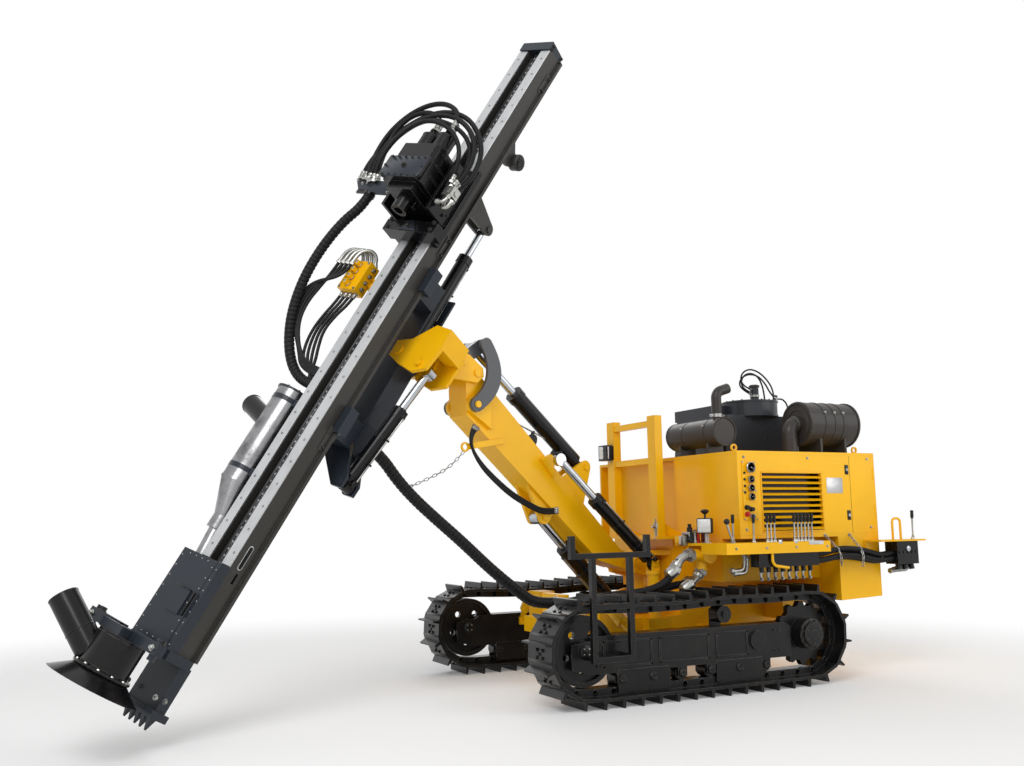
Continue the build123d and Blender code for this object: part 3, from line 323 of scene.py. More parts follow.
def make_finishes(sizes):
    """Every finish by its short name."""
    yellow = tuple(sizes.body_yellow)
    slate = tuple(sizes.feed_slate)
    return {"yellow": painted("body_yellow_paint", yellow, (0.10, 0.085, 0.06), 0.30, 0.25, 0.05, 0.10),
            "slate": painted("feed_slate_paint", slate, (0.16, 0.16, 0.16), 0.30, 0.4, 0.04, 0.1),
            "beam": painted("beam_grey_paint", (0.040, 0.038, 0.034), (0.2, 0.2, 0.2), 0.36, 0.4, 0.05,
                            0.15),
            "link": painted("linkage_grey_paint", (0.075, 0.078, 0.085), (0.25, 0.25, 0.25), 0.34, 0.4,
                            0.08, 0.2),
            "roof": painted("roof_brown_grey_paint", (0.040, 0.036, 0.034), (0.12, 0.10, 0.08), 0.42, 0.4,
                            0.35, 0.12),
            "housing": painted("housing_slate_grey_paint", (0.030, 0.033, 0.040), (0.12, 0.11, 0.10), 0.36,
                               0.3, 0.15, 0.15),
            "track": painted("track_black_paint", (0.005, 0.005, 0.0055), (0.14, 0.13, 0.12), 0.30, 0.8,
                             0.05, 0.10),
            "head": painted("drill_head_black_paint", (0.004, 0.004, 0.005), (0.16, 0.15, 0.14), 0.24, 0.6,
                            0.03, 0.12),
            "rail": bare_steel("rail_bright_steel", (0.56, 0.57, 0.58), 0.34, 1.0, 0.85),
            "chain": bare_steel("oiled_chain_steel", (0.24, 0.24, 0.25), 0.28, 0.6, 0.25),
            "chrome": bare_steel("rod_chrome", (0.50, 0.52, 0.55), 0.10, 0.15, 0.8),
            "zinc": bare_steel("zinc_plated_steel", (0.42, 0.42, 0.40), 0.24, 0.5, 0.5),
            "polished": bare_steel("separator_polished_steel", (0.30, 0.30, 0.31), 0.18, 0.7, 0.35),
            "hose": rubber("hose_rubber", (0.007, 0.007, 0.0075)),
            "braid": rubber("braided_hose_rubber", (0.013, 0.013, 0.014), 0.48, 0.5),
            "grip": moulded("grip_black_plastic", (0.010, 0.010, 0.011), 0.35),
            "orange": painted("hood_return_orange_paint", (0.80, 0.22, 0.015), (0.10, 0.08, 0.06), 0.32,
                              0.2, 0.1, 0.3),
            "red": moulded("stop_knob_red_plastic", (0.45, 0.015, 0.012), 0.3),
            "dial": moulded("dial_white_enamel", (0.72, 0.72, 0.70), 0.25),
            "plate": bare_steel("blank_rating_plate", (0.50, 0.50, 0.50), 0.34, 0.3, 0.85),
            # near-black painted shade, laid where holes and slots open, and also used for one seam line
            "recess_shade": moulded("painted_recess_shade", (0.003, 0.003, 0.003), 0.7),
            "dial_dark": moulded("dial_face_dark", (0.02, 0.02, 0.022), 0.2),
            "seam": moulded("dark_seam", (0.02, 0.012, 0.004), 0.7),
            "lens": moulded("lamp_pale_lens", (0.70, 0.71, 0.72), 0.12)}


FINISHES = {}


# Mesh tools


class Shape:
    """Gathers turned, flat and swept forms, each in its own finish, into one piece."""

    def __init__(self):
        self.mesh = bmesh.new()
        self.used = []

    def index(self, finish):
        """Number of the finish on this piece."""
        if finish not in self.used:
            self.used.append(finish)
        return self.used.index(finish)

    def skin(self, rings, finish, round_about=True):
        """Join rows of points; a row of one point closes the form there."""
        index = self.index(finish)
        rows = [[self.mesh.verts.new(p) for p in ring] for ring in rings]
        for low, high in zip(rows, rows[1:]):
            count = max(len(low), len(high))
            for k in range(count if round_about else count - 1):
                after = (k + 1) % count
                corners = [low[k % len(low)], low[after % len(low)], high[after % len(high)],
                           high[k % len(high)]]
                kept = []
                for corner in corners:
                    if corner not in kept:
                        kept.append(corner)
                if len(kept) > 2:
                    face = self.mesh.faces.new(kept)
                    face.material_index = index
                    face.smooth = True
        for row in (rows[0], rows[-1]):
            if len(row) > 2 and round_about:
                face = self.mesh.faces.new(row)
                face.material_index = index
                face.smooth = True

    def turned(self, at, profile, finish, sides):
        """A form turned about z, from pairs of radius and height."""
        rings = []
        for radius, height in profile:
            count = 1 if radius < 1e-6 else sides
            rings.append([at @ Vector((radius * math.cos(2 * math.pi * k / sides),
                                       radius * math.sin(2 * math.pi * k / sides), height))
                          for k in range(count)])
        self.skin(rings, finish)

    def plate(self, at, outline, thick, finish, edge):
        """A plate drawn in x and y that stands thick along z, with a broken outer edge."""
        middle = sum((Vector(p) for p in outline), Vector((0, 0))) / len(outline)
        near = []
        for p in outline:
            inward = middle - Vector(p)
            near.append(Vector(p) + inward.normalized() * min(edge * 1.4, inward.length * 0.3))
        rings = [
            [at @ Vector((p[0], p[1], 0)) for p in outline],
            [at @ Vector((p[0], p[1], thick - edge)) for p in outline],
            [at @ Vector((p[0], p[1], thick)) for p in near],
        ]
        self.skin(rings, finish)

    def box(self, at, size, finish, edge=0.002):
        """A block that stands on z 0, with cut corners and a broken upper edge."""
        x, y, z = size[0] / 2, size[1] / 2, size[2]
        cut = min(edge, x * 0.4, y * 0.4)
        outline = [
            (-x + cut, -y), (x - cut, -y), (x, -y + cut), (x, y - cut),
            (x - cut, y), (-x + cut, y), (-x, y - cut), (-x, -y + cut),
        ]
        self.plate(at, outline, z, finish, edge)

    def bolt(self, at, across, finish="zinc", washer=True):
        """Hexagon head on a washer, seated at z 0."""
        r = across / math.sqrt(3)
        base = 0.0
        if washer:
            self.turned(at, [(r * 1.35, 0), (r * 1.35, across * 0.12), (0, across * 0.12)], finish, 16)
            base = across * 0.12
        turned = at @ Matrix.Translation((0, 0, base))
        high = across * 0.62
        self.turned(turned, [(r, 0), (r, high * 0.82), (r * 0.84, high), (0, high)], finish, 6)

    def bolt_circle(self, at, count, radius, height, across, finish="zinc", washer=False, first=0.0):
        """Bolts spaced evenly round z, the first one that share of a step on."""
        for k in range(count):
            turn = math.pi * 2 * (k + first) / count
            spot = Matrix.Translation((radius * math.cos(turn), radius * math.sin(turn), height))
            self.bolt(at @ spot, across, finish, washer)

    def band(self, at, inner, outer, low, high, finish, sides):
        """A flat band round z, from low to high."""
        self.turned(at, [(inner, low), (outer, low), (outer, high), (inner, high)], finish, sides)

    def swept(self, points, radius, finish, sides):
        """A closed tube along close points; radius is a number or a function of length and angle."""
        self.skin([[points[0]]] + tube_rings(points, radius, sides) + [[points[-1]]], finish)

    def done(self, name, body, sharp=38.0):
        """Make the gathered forms a piece that rides on a body; edges over sharp degrees stay sharp."""
        bmesh.ops.recalc_face_normals(self.mesh, faces=self.mesh.faces)
        mesh = bpy.data.meshes.new(name)
        self.mesh.to_mesh(mesh)
        self.mesh.free()
        for finish in self.used:
            mesh.materials.append(FINISHES[finish])
        mesh.set_sharp_from_angle(angle=math.radians(sharp))
        made = bpy.data.objects.new(name, mesh)
        bpy.context.scene.collection.objects.link(made)
        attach(made, body)
        return made


def tube_rings(points, radius, sides):
    """Rings square to a line of close points, carried along without twist."""
    points = [Vector(p) for p in points]
    along = [(points[min(k + 1, len(points) - 1)] - points[max(k - 1, 0)]).normalized()
             for k in range(len(points))]
    across = along[0].orthogonal().normalized()
    rings, length = [], 0.0
    for k, (point, ahead) in enumerate(zip(points, along)):
        if k:
            length += (point - points[k - 1]).length
        across = (across - ahead * across.dot(ahead)).normalized()
        other = ahead.cross(across)
        ring = []
        for j in range(sides):
            angle = 2 * math.pi * j / sides
            r = radius(length, angle) if callable(radius) else radius
            ring.append(point + (across * math.cos(angle) + other * math.sin(angle)) * r)
        rings.append(ring)
    return rings


# Cords


def route_curve(name, points, resolution=14):
    """Smooth curve that a route's points control."""
    curve = bpy.data.curves.new(name, "CURVE")
    curve.dimensions = "3D"
    line = curve.splines.new("NURBS")
    line.points.add(len(points) - 1)
    for knot, place in zip(line.points, points):
        knot.co = (*place, 1)
    line.order_u = 3
    line.use_endpoint_u = True
    line.resolution_u = resolution
    return curve


def route_line(points, resolution=14):
    """Close points read from the route's own smooth curve."""
    curve = route_curve("route", points, resolution)
    holder = bpy.data.objects.new("route", curve)
    mesh = bpy.data.meshes.new_from_object(holder)
    line = [v.co.copy() for v in mesh.vertices]
    bpy.data.objects.remove(holder)
    bpy.data.curves.remove(curve)
    bpy.data.meshes.remove(mesh)
    return line


def even(line, step):
    """The same line in equal steps."""
    made, left = [line[0]], step
    for a, b in zip(line, line[1:]):
        run = (b - a).length
        while run >= left:
            a = a + (b - a) * (left / run)
            made.append(a)
            run, left = (b - a).length, step
        left -= run
    if (made[-1] - line[-1]).length > step * 0.3:
        made.append(line[-1])
    else:
        made[-1] = line[-1]
    return made


def line_length(line):
    """Length of a line of points."""
    return sum((b - a).length for a, b in zip(line, line[1:]))


def hose(name, points, radius, finish, body):
    """A plain round hose, held at both ends."""
    curve = route_curve(name, points)
    curve.bevel_depth = radius
    curve.bevel_resolution = 3
    curve.use_fill_caps = True
    curve.materials.append(FINISHES[finish])
    made = bpy.data.objects.new(name, curve)
    bpy.context.scene.collection.objects.link(made)
    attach(made, body)
    length = line_length(route_line(points))
    return made


def wrapped_hose(name, points, radius, pitch, depth, finish, body, node=None, sides=20):
    """A bundle in a spiral guard: each turn of the band stands proud of the gap behind it."""
    line = even(route_line(points), pitch / 8)

    def guard(length, angle):
        turn = (length / pitch - angle / (2 * math.pi)) % 1.0
        rise = min(1.0, turn / 0.16, (1 - turn) / 0.16) if turn < 0.999 else 0.0
        return radius - depth + depth * max(0.0, min(1.0, rise * 1.4 - 0.2))

    shape = Shape()
    shape.swept(line, guard, finish, sides)
    made = shape.done(name, body, 60.0)
    if node:
        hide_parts(node)
    line_length(line)
    return made


# What a user of the add-on may change


class RigSizes(bpy.types.PropertyGroup):
    body_yellow: FloatVectorProperty(
        name="Body yellow", description="Paint of the body, boom and portal", subtype="COLOR", size=3,
        default=(0.93, 0.49, 0.002), min=0, max=1,
    )
    feed_slate: FloatVectorProperty(name="Feed slate",
                                    description="Paint of the cradle, clamps and foot bracket",
                                    subtype="COLOR", size=3, default=(0.022, 0.028, 0.038), min=0, max=1)
    bolt_across: FloatProperty(name="Bolt head", description="Width across the flats of a structural bolt",
                               default=0.024, unit="LENGTH")
    bundle_pitch: FloatProperty(name="Guard pitch",
                                description="Distance between the turns of a hose guard", default=0.032,
                                unit="LENGTH")


class StageSizes(bpy.types.PropertyGroup):
    lens: FloatProperty(name="Lens", description="Focal length of the camera in millimetres", default=35.16)
    place: FloatVectorProperty(
        name="Camera place", description="Where the camera stands", size=3, subtype="TRANSLATION",
        default=(3.1407, 6.3396, 1.137),
    )
    turn: FloatProperty(
        name="Camera turn", description="Turn of the view from the machine's left", subtype="ANGLE",
        default=math.radians(26.71),
    )
    rise: FloatProperty(name="Camera rise", description="Upward tilt", subtype="ANGLE",
                        default=math.radians(7.93))
    roll: FloatProperty(name="Camera roll", description="Roll of the frame", subtype="ANGLE",
                        default=math.radians(-0.94))
    sky: FloatProperty(name="Sky light", description="Strength of the even light", default=0.42)
    key: FloatProperty(name="Key light", description="Power of the large soft lamp", default=420.0,
                       unit="POWER")


def node_finish(name, finish):
    """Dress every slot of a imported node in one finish."""
    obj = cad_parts[name]
    if not obj.material_slots:
        obj.data.materials.append(None)
    for slot in obj.material_slots:
        slot.link = "OBJECT"
        slot.material = FINISHES[finish]


class RIG_OT_stage(bpy.types.Operator):
    """Add the floor, the soft lamps and the camera"""

    bl_idname = "rig.stage"
    bl_label = "Stage"

    def execute(self, context):
        stage = context.scene.stage_sizes
        scene = context.scene
        scene.view_settings.view_transform = "Standard"
        camera = bpy.data.cameras.new("camera")
        camera.lens = stage.lens
        camera.clip_end = 200
        holder = bpy.data.objects.new("camera", camera)
        scene.collection.objects.link(holder)
        ahead = Vector((
            -math.sin(stage.turn) * math.cos(stage.rise), -math.cos(stage.turn) * math.cos(stage.rise),
            math.sin(stage.rise),
        ))
        level = ahead.cross(UP).normalized()
        above = level.cross(ahead)
        right = level * math.cos(stage.roll) + above * math.sin(stage.roll)
        up = above * math.cos(stage.roll) - level * math.sin(stage.roll)
        turned = Matrix((right, up, -ahead)).transposed().to_4x4()
        turned.translation = Vector(stage.place)
        holder.matrix_world = turned
        scene.camera = holder

        world = bpy.data.worlds.new("studio")
        scene.world = world
        world.use_nodes = True
        sky = Nodes(world.node_tree)
        camera_ray, glossy_ray, clear_ray = (sky.wire("ShaderNodeLightPath", output=f"Is {kind} Ray")
                                             for kind in ("Camera", "Glossy", "Transmission"))
        seen = camera_ray.larger(glossy_ray).larger(clear_ray)
        strength = sky.wire("ShaderNodeMapRange", None, {"Value": seen, "To Min": stage.sky, "To Max": 1.0})
        backdrop = sky.tree.nodes["Background"]
        sky.feed(backdrop.inputs["Color"], (1.0, 1.0, 1.0, 1.0))
        sky.feed(backdrop.inputs["Strength"], strength)

        for name, place, aim, size, power in (
            ("key", (5.5, 6.5, 7.5), (0.0, 0.3, 1.0), 5.0, stage.key),
            ("fill", (-6.5, 7.0, 4.5), (-1.0, 0.0, 1.0), 6.0, stage.key * 0.45),
            ("rim", (-3.0, -7.5, 6.5), (-0.5, 0.0, 1.2), 5.0, stage.key * 0.4),
        ):
            lamp = bpy.data.lights.new(name, "AREA")
            lamp.size = size
            lamp.energy = power
            lit = bpy.data.objects.new(name, lamp)
            lit.matrix_world = seat(Vector(place), Vector(place) - Vector(aim))
            scene.collection.objects.link(lit)

        floor = Shape()
        floor.skin([
            [Vector((-FLOOR_REACH, -FLOOR_REACH, 0)), Vector((FLOOR_REACH, -FLOOR_REACH, 0))],
            [Vector((-FLOOR_REACH, FLOOR_REACH, 0)), Vector((FLOOR_REACH, FLOOR_REACH, 0))],
        ], "floor", False)
        mesh = bpy.data.meshes.new("floor")
        floor.mesh.to_mesh(mesh)
        floor.mesh.free()
        mesh.materials.append(FINISHES["floor"])
        ground = bpy.data.objects.new("floor", mesh)
        scene.collection.objects.link(ground)
        return {"FINISHED"}


def floor_finish():
    """Pale floor that keeps the shadow and thins out into the white backdrop."""
    f = Finish("pale_floor")
    speck = f.between(f.noise(30.0, 3.0), 0.3, 0.7)
    f.set(
        Base_Color=f.blend(speck, (0.92, 0.92, 0.92), (0.95, 0.95, 0.95)), Roughness=0.9,
        Emission_Color=(1.0, 1.0, 1.0), Emission_Strength=0.12,
    )
    away = f.vector_sum("LENGTH", f.place())
    glow = f.node("ShaderNodeEmission", None, {"Color": (1, 1, 1, 1), "Strength": 1.0})
    mix = f.node("ShaderNodeMixShader", None, {0: f.between(away, FLOOR_FADE[0], FLOOR_FADE[1])})
    f.tree.links.new(f.shader.outputs[0], mix.inputs[1])
    f.tree.links.new(glow.outputs[0], mix.inputs[2])
    f.tree.links.new(mix.outputs[0], f.tree.nodes["Material Output"].inputs["Surface"])
    return f.material


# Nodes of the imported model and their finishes

NODE_FINISHES = {"yellow": ("main_frame", "lower_body", "hood_left", "hood_right", "hood_ends", "hood_roof",
                            "portal", "swing_post", "boom", "swing_anchor", "boom_head", "hydraulic_block",
                            "levelling_cylinders", "control_shelf", "gauge_panel", "air_valve"),
                 "slate": ("cradle", "foot_bracket", "beam_covers"), "beam": ("feed_beam",),
                 "link": ("rocker", "head_link"), "roof": ("muffler", "air_filter"),
                 "housing": ("dust_collector",),
                 "track": ("track_left", "track_right", "track_frame_left", "track_frame_right", "idlers",
                           "sprockets", "track_rollers", "step_rack"),
                 "head": ("lift_barrel", "tilt_barrel", "swing_barrel", "feed_swing_barrel",
                          "extension_barrel", "dust_hood", "head_carriage", "drill_gearbox",
                          "drill_spindle", "radiator_core", "engine_block", "control_valves", "work_lamps",
                          "control_levers"),
                 "chrome": ("lift_rod", "tilt_rod", "swing_rod", "feed_swing_rod", "extension_rod"),
                 "rail": ("feed_rails",), "chain": ("feed_chain",), "polished": ("dust_separator",),
                 "hose": ("side_hoses", "main_hose", "feed_hose")}


class RIG_OT_finishes(bpy.types.Operator):
    """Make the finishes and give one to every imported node"""

    bl_idname = "rig.finishes"
    bl_label = "Finishes"

    def execute(self, context):
        FINISHES.update(make_finishes(context.scene.rig_sizes))
        FINISHES["floor"] = floor_finish()
        dressed = set()
        for finish, names in NODE_FINISHES.items():
            for name in names:
                node_finish(name, finish)
                dressed.add(name)
        bare = sorted(set(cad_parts) - dressed)
        if bare:
            raise RuntimeError(f"nodes without a finish: {bare}")
        return {"FINISHED"}


# Routes of the two guarded bundles, in metres of the frame
MAIN_ROUTE = [
    on_feed(-60, -570, -74), on_feed(-60, -570, -294), machine(940, 345, 1420), machine(820, 330, 1300),
    machine(670, 315, 1175), machine(470, 300, 1015), machine(250, 280, 825), machine(30, 262, 662),
    machine(-95, 250, 585), machine(-250, 250, 585),
]
FEED_ROUTE = [
    on_feed(-430, 770, 618), on_feed(-430, 680, 618), on_feed(-490, 540, 630), on_feed(-540, 330, 620),
    on_feed(-560, 100, 590), on_feed(-545, -130, 530), on_feed(-490, -310, 455), on_feed(-400, -430, 395),
    on_feed(-275, -480, 362), on_feed(-172, -480, 362),
]


class RIG_OT_hoses(bpy.types.Operator):
    """Make the two guarded hose bundles"""

    bl_idname = "rig.hoses"
    bl_label = "Hoses"

    def execute(self, context):
        pitch = context.scene.rig_sizes.bundle_pitch
        wrapped_hose("main_hose_bundle", MAIN_ROUTE, 0.038, pitch, 0.005, "hose", "chassis", "main_hose")
        wrapped_hose("feed_hose_bundle", FEED_ROUTE, 0.032, pitch * 0.9, 0.005, "hose", "feed", "feed_hose")
        return {"FINISHED"}


# Tracks: places along the pin line, in millimetres

PITCH = 135.0
SHOES = 38
PITCH_RADIUS = 251.0
IDLER_X = -69.0
RUN = (SHOES * PITCH - 2 * math.pi * PITCH_RADIUS) / 2
SPROCKET_X = IDLER_X - RUN
CARRIER_X = -1156.0
AXLE = 343.0
FRAME_HALF = 65.0
ROLLERS = (-330.0, -560.0, -790.0, -1020.0, -1250.0, -1480.0)
GUARD_PANELS = ((-560, -190), (-1010, -610), (-1330, -1060))


def border(rear, front, low, high, wide, flat=None):
    """Four strips inside a rectangle of a side: upright ones are wide, level ones flat."""
    flat = flat or wide
    return ((rear, rear + wide, low, high), (front - wide, front, low, high),
            (rear, front, high - flat, high), (rear, front, low, low + flat))


def strip_on_side(shape, strip, y, outward, thick, finish, edge):
    """A flat strip on a face that looks left or right; the strip is its rear, front, low and high."""
    x0, x1, z0, z1 = strip
    at = seat(machine((x0 + x1) / 2, y, (z0 + z1) / 2), LEFT * outward, FORWARD)
    shape.box(at, ((x1 - x0) / 1000, (z1 - z0) / 1000, thick), finish, edge)


def pin_line(s):
    """Where the chain's pins are, a run of s along the loop: forward and up, with the sag."""
    s = s % (SHOES * PITCH)
    arc = math.pi * PITCH_RADIUS
    if s < RUN:
        return (IDLER_X - s, AXLE - PITCH_RADIUS)
    s -= RUN
    if s < arc:
        turn = s / PITCH_RADIUS
        return (SPROCKET_X - PITCH_RADIUS * math.sin(turn), AXLE - PITCH_RADIUS * math.cos(turn))
    s -= arc
    if s < RUN:
        x = SPROCKET_X + s
        if x < CARRIER_X:
            sag = 8 * math.sin(math.pi * (x - SPROCKET_X) / (CARRIER_X - SPROCKET_X))
        else:
            sag = 20 * math.sin(math.pi * (x - CARRIER_X) / (IDLER_X - CARRIER_X))
        return (x, AXLE + PITCH_RADIUS - sag)
    turn = (s - RUN) / PITCH_RADIUS
    return (IDLER_X + PITCH_RADIUS * math.sin(turn), AXLE + PITCH_RADIUS * math.cos(turn))


def shoe_seat(number, y, along, high):
    """Seat on a shoe: z points outward, x forward along the loop."""
    (x0, z0), (x1, z1) = pin_line(IDLER_X + PITCH * (number + 1)), pin_line(IDLER_X + PITCH * (number + 2))
    length = math.hypot(x1 - x0, z1 - z0)
    ahead = Vector(((x1 - x0) / length, 0, (z1 - z0) / length))
    out = Vector((-ahead.z, 0, ahead.x))
    return seat(machine(x0, y, z0) + (ahead * along + out * high) / 1000, out, ahead)


def make_shoe_bolts(name, y, across):
    """Bolts, lips, holes and pin bosses of one track's shoes and links; each hole is a thin plate of
    painted shade.
    """
    shoes = Shape()
    for number in range(SHOES):
        for along in (58, 104):
            for off in (-34, 34):
                shoes.bolt(shoe_seat(number, y + off, along, 43.5), across, "track", False)
        lip = shoe_seat(number, y, 128, 38)
        shoes.plate(lip, [(-0.012, -0.15), (0.006, -0.15), (0.006, 0.15), (-0.012, 0.15)], 0.009, "track",
                    0.003)
        hole = shoe_seat(number, y, 81, 43.8)
        slot = [
            (0.011 * math.cos(a), math.copysign(0.012, math.sin(a)) + 0.011 * math.sin(a))
            for a in (math.pi * (k + 0.5) / 6 for k in range(12))
        ]
        # a thin plate of painted shade stands in for the hole through the shoe
        shoes.plate(hole, slot, 0.0009, "recess_shade", 0.0003)
        for flank in (-1, 1):
            start = shoe_seat(number, y + flank * 52, 0, 0)
            end = shoe_seat(number, y + flank * 52, PITCH, 0)
            for place, radius in ((start, 0.021), (end, 0.019)):
                round_end = seat(place.translation, LEFT * flank)
                shoes.turned(round_end,
                             [(radius, 0), (radius, 0.003), (radius * 0.86, 0.0045), (0.011, 0.0045),
                              (0.009, 0.002), (0, 0.002)], "track", 12)
    shoes.done(f"shoe_bolts_{name}", "chassis")


def make_track_hubs(name, y, across):
    """Drive hub, roller caps and guard frames of one track."""
    hubs = Shape()
    outward = 1 if y > 0 else -1
    drive = seat(machine(SPROCKET_X, y + outward * 118, AXLE), LEFT * outward)
    hubs.turned(drive, [(0.102, 0), (0.102, 0.003), (0.095, 0.006), (0.083, 0.006)], "track", 32)
    hubs.bolt_circle(drive, 12, 0.092, 0.005, across * 0.7, "track", first=0.5)
    cap = seat(machine(SPROCKET_X, y + outward * 136, AXLE), LEFT * outward)
    hubs.turned(cap, [(0.078, 0), (0.074, 0.007), (0.03, 0.010), (0.028, 0.014), (0, 0.014)], "track", 32)
    hubs.bolt_circle(cap, 6, 0.062, 0.006, across * 0.6, "track")
    for flank in (-1, 1):
        for x, z, radius in [(IDLER_X, AXLE, 0.04)] + [(x, 161.0, 0.028) for x in ROLLERS]:
            end = seat(machine(x, y + flank * (FRAME_HALF + 0.5), z), LEFT * flank)
            hubs.turned(end, [(radius, -0.002), (radius, 0.008), (radius * 0.85, 0.012), (0, 0.012)],
                        "track", 18)
            for turn in (0.8, 2.4, 3.9, 5.5):
                hubs.bolt(end @ Matrix.Translation((radius * 0.62 * math.cos(turn),
                                                    radius * 0.62 * math.sin(turn), 0.011)), 0.011,
                          "zinc" if radius > 0.03 else "track", False)
    side_at = y + outward * (FRAME_HALF + 0.2)
    for rear, front in GUARD_PANELS:
        for strip in border(rear, front, 232, 398, 16, 14):
            strip_on_side(hubs, strip, side_at, outward, 0.004, "track", 0.0015)
    for x in (-1600, -1560, -180, -150):
        for z in (250, 380):
            hubs.bolt(seat(machine(x, side_at, z), LEFT * outward), across * 0.8, "track")
    hubs.done(f"track_hubs_{name}", "chassis")


class RIG_OT_tracks(bpy.types.Operator):
    """Add the bolts, lips, pins and hubs of the tracks"""

    bl_idname = "rig.tracks"
    bl_label = "Tracks"

    def execute(self, context):
        across = context.scene.rig_sizes.bolt_across * 0.8
        for name, y in (("left", TRACK_Y), ("right", -TRACK_Y)):
            make_shoe_bolts(name, y, across)
            make_track_hubs(name, y, across)
        return {"FINISHED"}


# Body


def dial(shape, place, radius, turn):
    """A round gauge with a bezel, a marked face and a needle."""
    shape.turned(place,
                 [(radius, 0), (radius * 1.06, 0.004), (radius * 1.06, 0.012), (radius * 0.94, 0.016),
                  (radius * 0.88, 0.012)], "zinc", 28)
    shape.turned(place @ Matrix.Translation((0, 0, 0.0125)), [(radius * 0.9, 0), (0, 0)], "dial_dark", 28)
    for k in range(11):
        angle = math.radians(225 - 27 * k)
        mark = place @ Matrix.Translation((radius * 0.74 * math.cos(angle), radius * 0.74 * math.sin(angle),
                                           0.0128))
        shape.box(mark @ Matrix.Rotation(angle, 4, "Z"), (radius * 0.16, radius * 0.04, 0.0006), "dial",
                  0.0001)
    needle = place @ Matrix.Rotation(turn, 4, "Z") @ Matrix.Translation((radius * 0.28, 0, 0.0133))
    shape.plate(needle, [(-radius * 0.4, -radius * 0.05), (radius * 0.38, -0.0004), (radius * 0.38, 0.0004),
                         (-radius * 0.4, radius * 0.05)], 0.0008, "dial", 0.0002)


def lever(shape, foot, top, grip):
    """A slim rod in a boot, with a moulded grip."""
    foot, top = Vector(foot), Vector(top)
    up = seat(foot, top - foot)
    long = (top - foot).length
    shape.turned(up,
                 [(0.016, 0), (0.016, 0.006), (0.012, 0.012), (0.0135, 0.017), (0.009, 0.023),
                  (0.0105, 0.028), (0.0065, 0.035)], "zinc", 12)
    shape.turned(up, [(0.0062, 0.034), (0.0062, long - grip)], "zinc", 12)
    shape.turned(up,
                 [(0.0062, long - grip), (0.0105, long - grip + 0.002), (0.0125, long - grip * 0.6),
                  (0.011, long - grip * 0.3), (0.013, long - 0.006), (0.009, long), (0, long)], "grip", 14)


# Faces of the hood, the shelf and the gauge panel, in millimetres
HOOD_SIDE = 900.0
SHELF_FRONT = 1050.0
SHELF_TOP = 975.0
PANEL_FACE = 906.0
DIAL_FACE = 917.5


def make_hood_fittings():
    """Louvre frames, door seams, latches, hinges, bolts and blank plates of the hood."""
    hood = Shape()
    for outward in (1, -1):
        side_y = outward * HOOD_SIDE
        for strip in border(-2106, -1541, 1040, 1460, 8):
            strip_on_side(hood, strip, side_y - outward * 1, outward, 0.007, "yellow", 0.002)
        at = seat(machine(-2380, side_y - outward * 0.6, 1300), LEFT * outward, FORWARD)
        hood.box(at, (0.003, 0.56, 0.001), "seam", 0.0002)
        for x in (-1400, -1980, -2560):
            for z in (1560, 1060):
                hood.bolt(seat(machine(x, side_y, z), LEFT * outward), 0.013, "zinc")
        for z in (1150, 1480):
            latch = seat(machine(-2350, side_y, z), LEFT * outward, UP)
            hood.box(latch, (0.07, 0.032, 0.006), "grip", 0.003)
            hood.turned(latch @ Matrix.Translation((0, 0, 0.006)), [(0.011, 0), (0.011, 0.003), (0, 0.003)],
                        "zinc", 16)
        for z in (1180, 1450):
            hinge = seat(machine(-2612, side_y - outward * 2, z - 40), UP)
            hood.turned(hinge, [(0.009, 0), (0.009, 0.08), (0, 0.08)], "yellow", 12)
    plate = seat(machine(-2227, HOOD_SIDE, 1365), LEFT, FORWARD)
    hood.box(plate, (0.156, 0.112, 0.0015), "plate", 0.0006)
    for x in (-2297, -2157):
        for z in (1317, 1413):
            hood.turned(seat(machine(x, HOOD_SIDE + 1.5, z), LEFT),
                        [(0.003, 0), (0.002, 0.0012), (0, 0.0012)], "zinc", 8)
    for k, x in enumerate((-1560, -1700, -1880)):
        at = seat(machine(x, SHELF_FRONT, 965), LEFT, FORWARD)
        hood.box(at @ Matrix.Translation((0, -0.012 if k < 2 else 0, 0)),
                 (0.03 if k < 2 else 0.13, 0.026, 0.0012), "plate", 0.0004)
    hood.done("hood_fittings", "chassis")


def make_gauges():
    """Gauges, indicator lamps and knobs of the panel."""
    gauges = Shape()
    for z, radius, turn in ((1487, 0.036, 2.6), (1405, 0.025, 3.4), (1345, 0.025, 3.0), (1285, 0.025, 3.6)):
        dial(gauges, seat(machine(-1440, DIAL_FACE, z), LEFT, FORWARD), radius, turn)
    for z in (1450, 1405, 1360, 1315):
        lamp = seat(machine(-1395, PANEL_FACE, z), LEFT)
        gauges.turned(lamp, [(0.009, 0), (0.009, 0.004), (0.0065, 0.006), (0.005, 0.010), (0, 0.011)],
                      "grip", 14)
    for x, z, finish in ((-1440, 1200, "grip"), (-1400, 1212, "grip"), (-1400, 1165, "red"),
                         (-1444, 1152, "zinc")):
        knob = seat(machine(x, PANEL_FACE, z), LEFT)
        gauges.turned(knob, [(0.017, 0), (0.017, 0.005), (0.012, 0.009), (0.012, 0.02), (0.015, 0.024),
                             (0.013, 0.03), (0, 0.031)], finish, 18)
    for x in (-1490, -1383):
        for z in (1131, 1525, 1328):
            gauges.bolt(seat(machine(x, PANEL_FACE, z), LEFT), 0.008, "zinc")
    gauges.done("gauges", "chassis")


class RIG_OT_hood(bpy.types.Operator):
    """Add the hood's seams, louvre frame, latches, gauges and blank plates"""

    bl_idname = "rig.hood"
    bl_label = "Hood"

    def execute(self, context):
        make_hood_fittings()
        make_gauges()
        return {"FINISHED"}


# Parts that several groups share


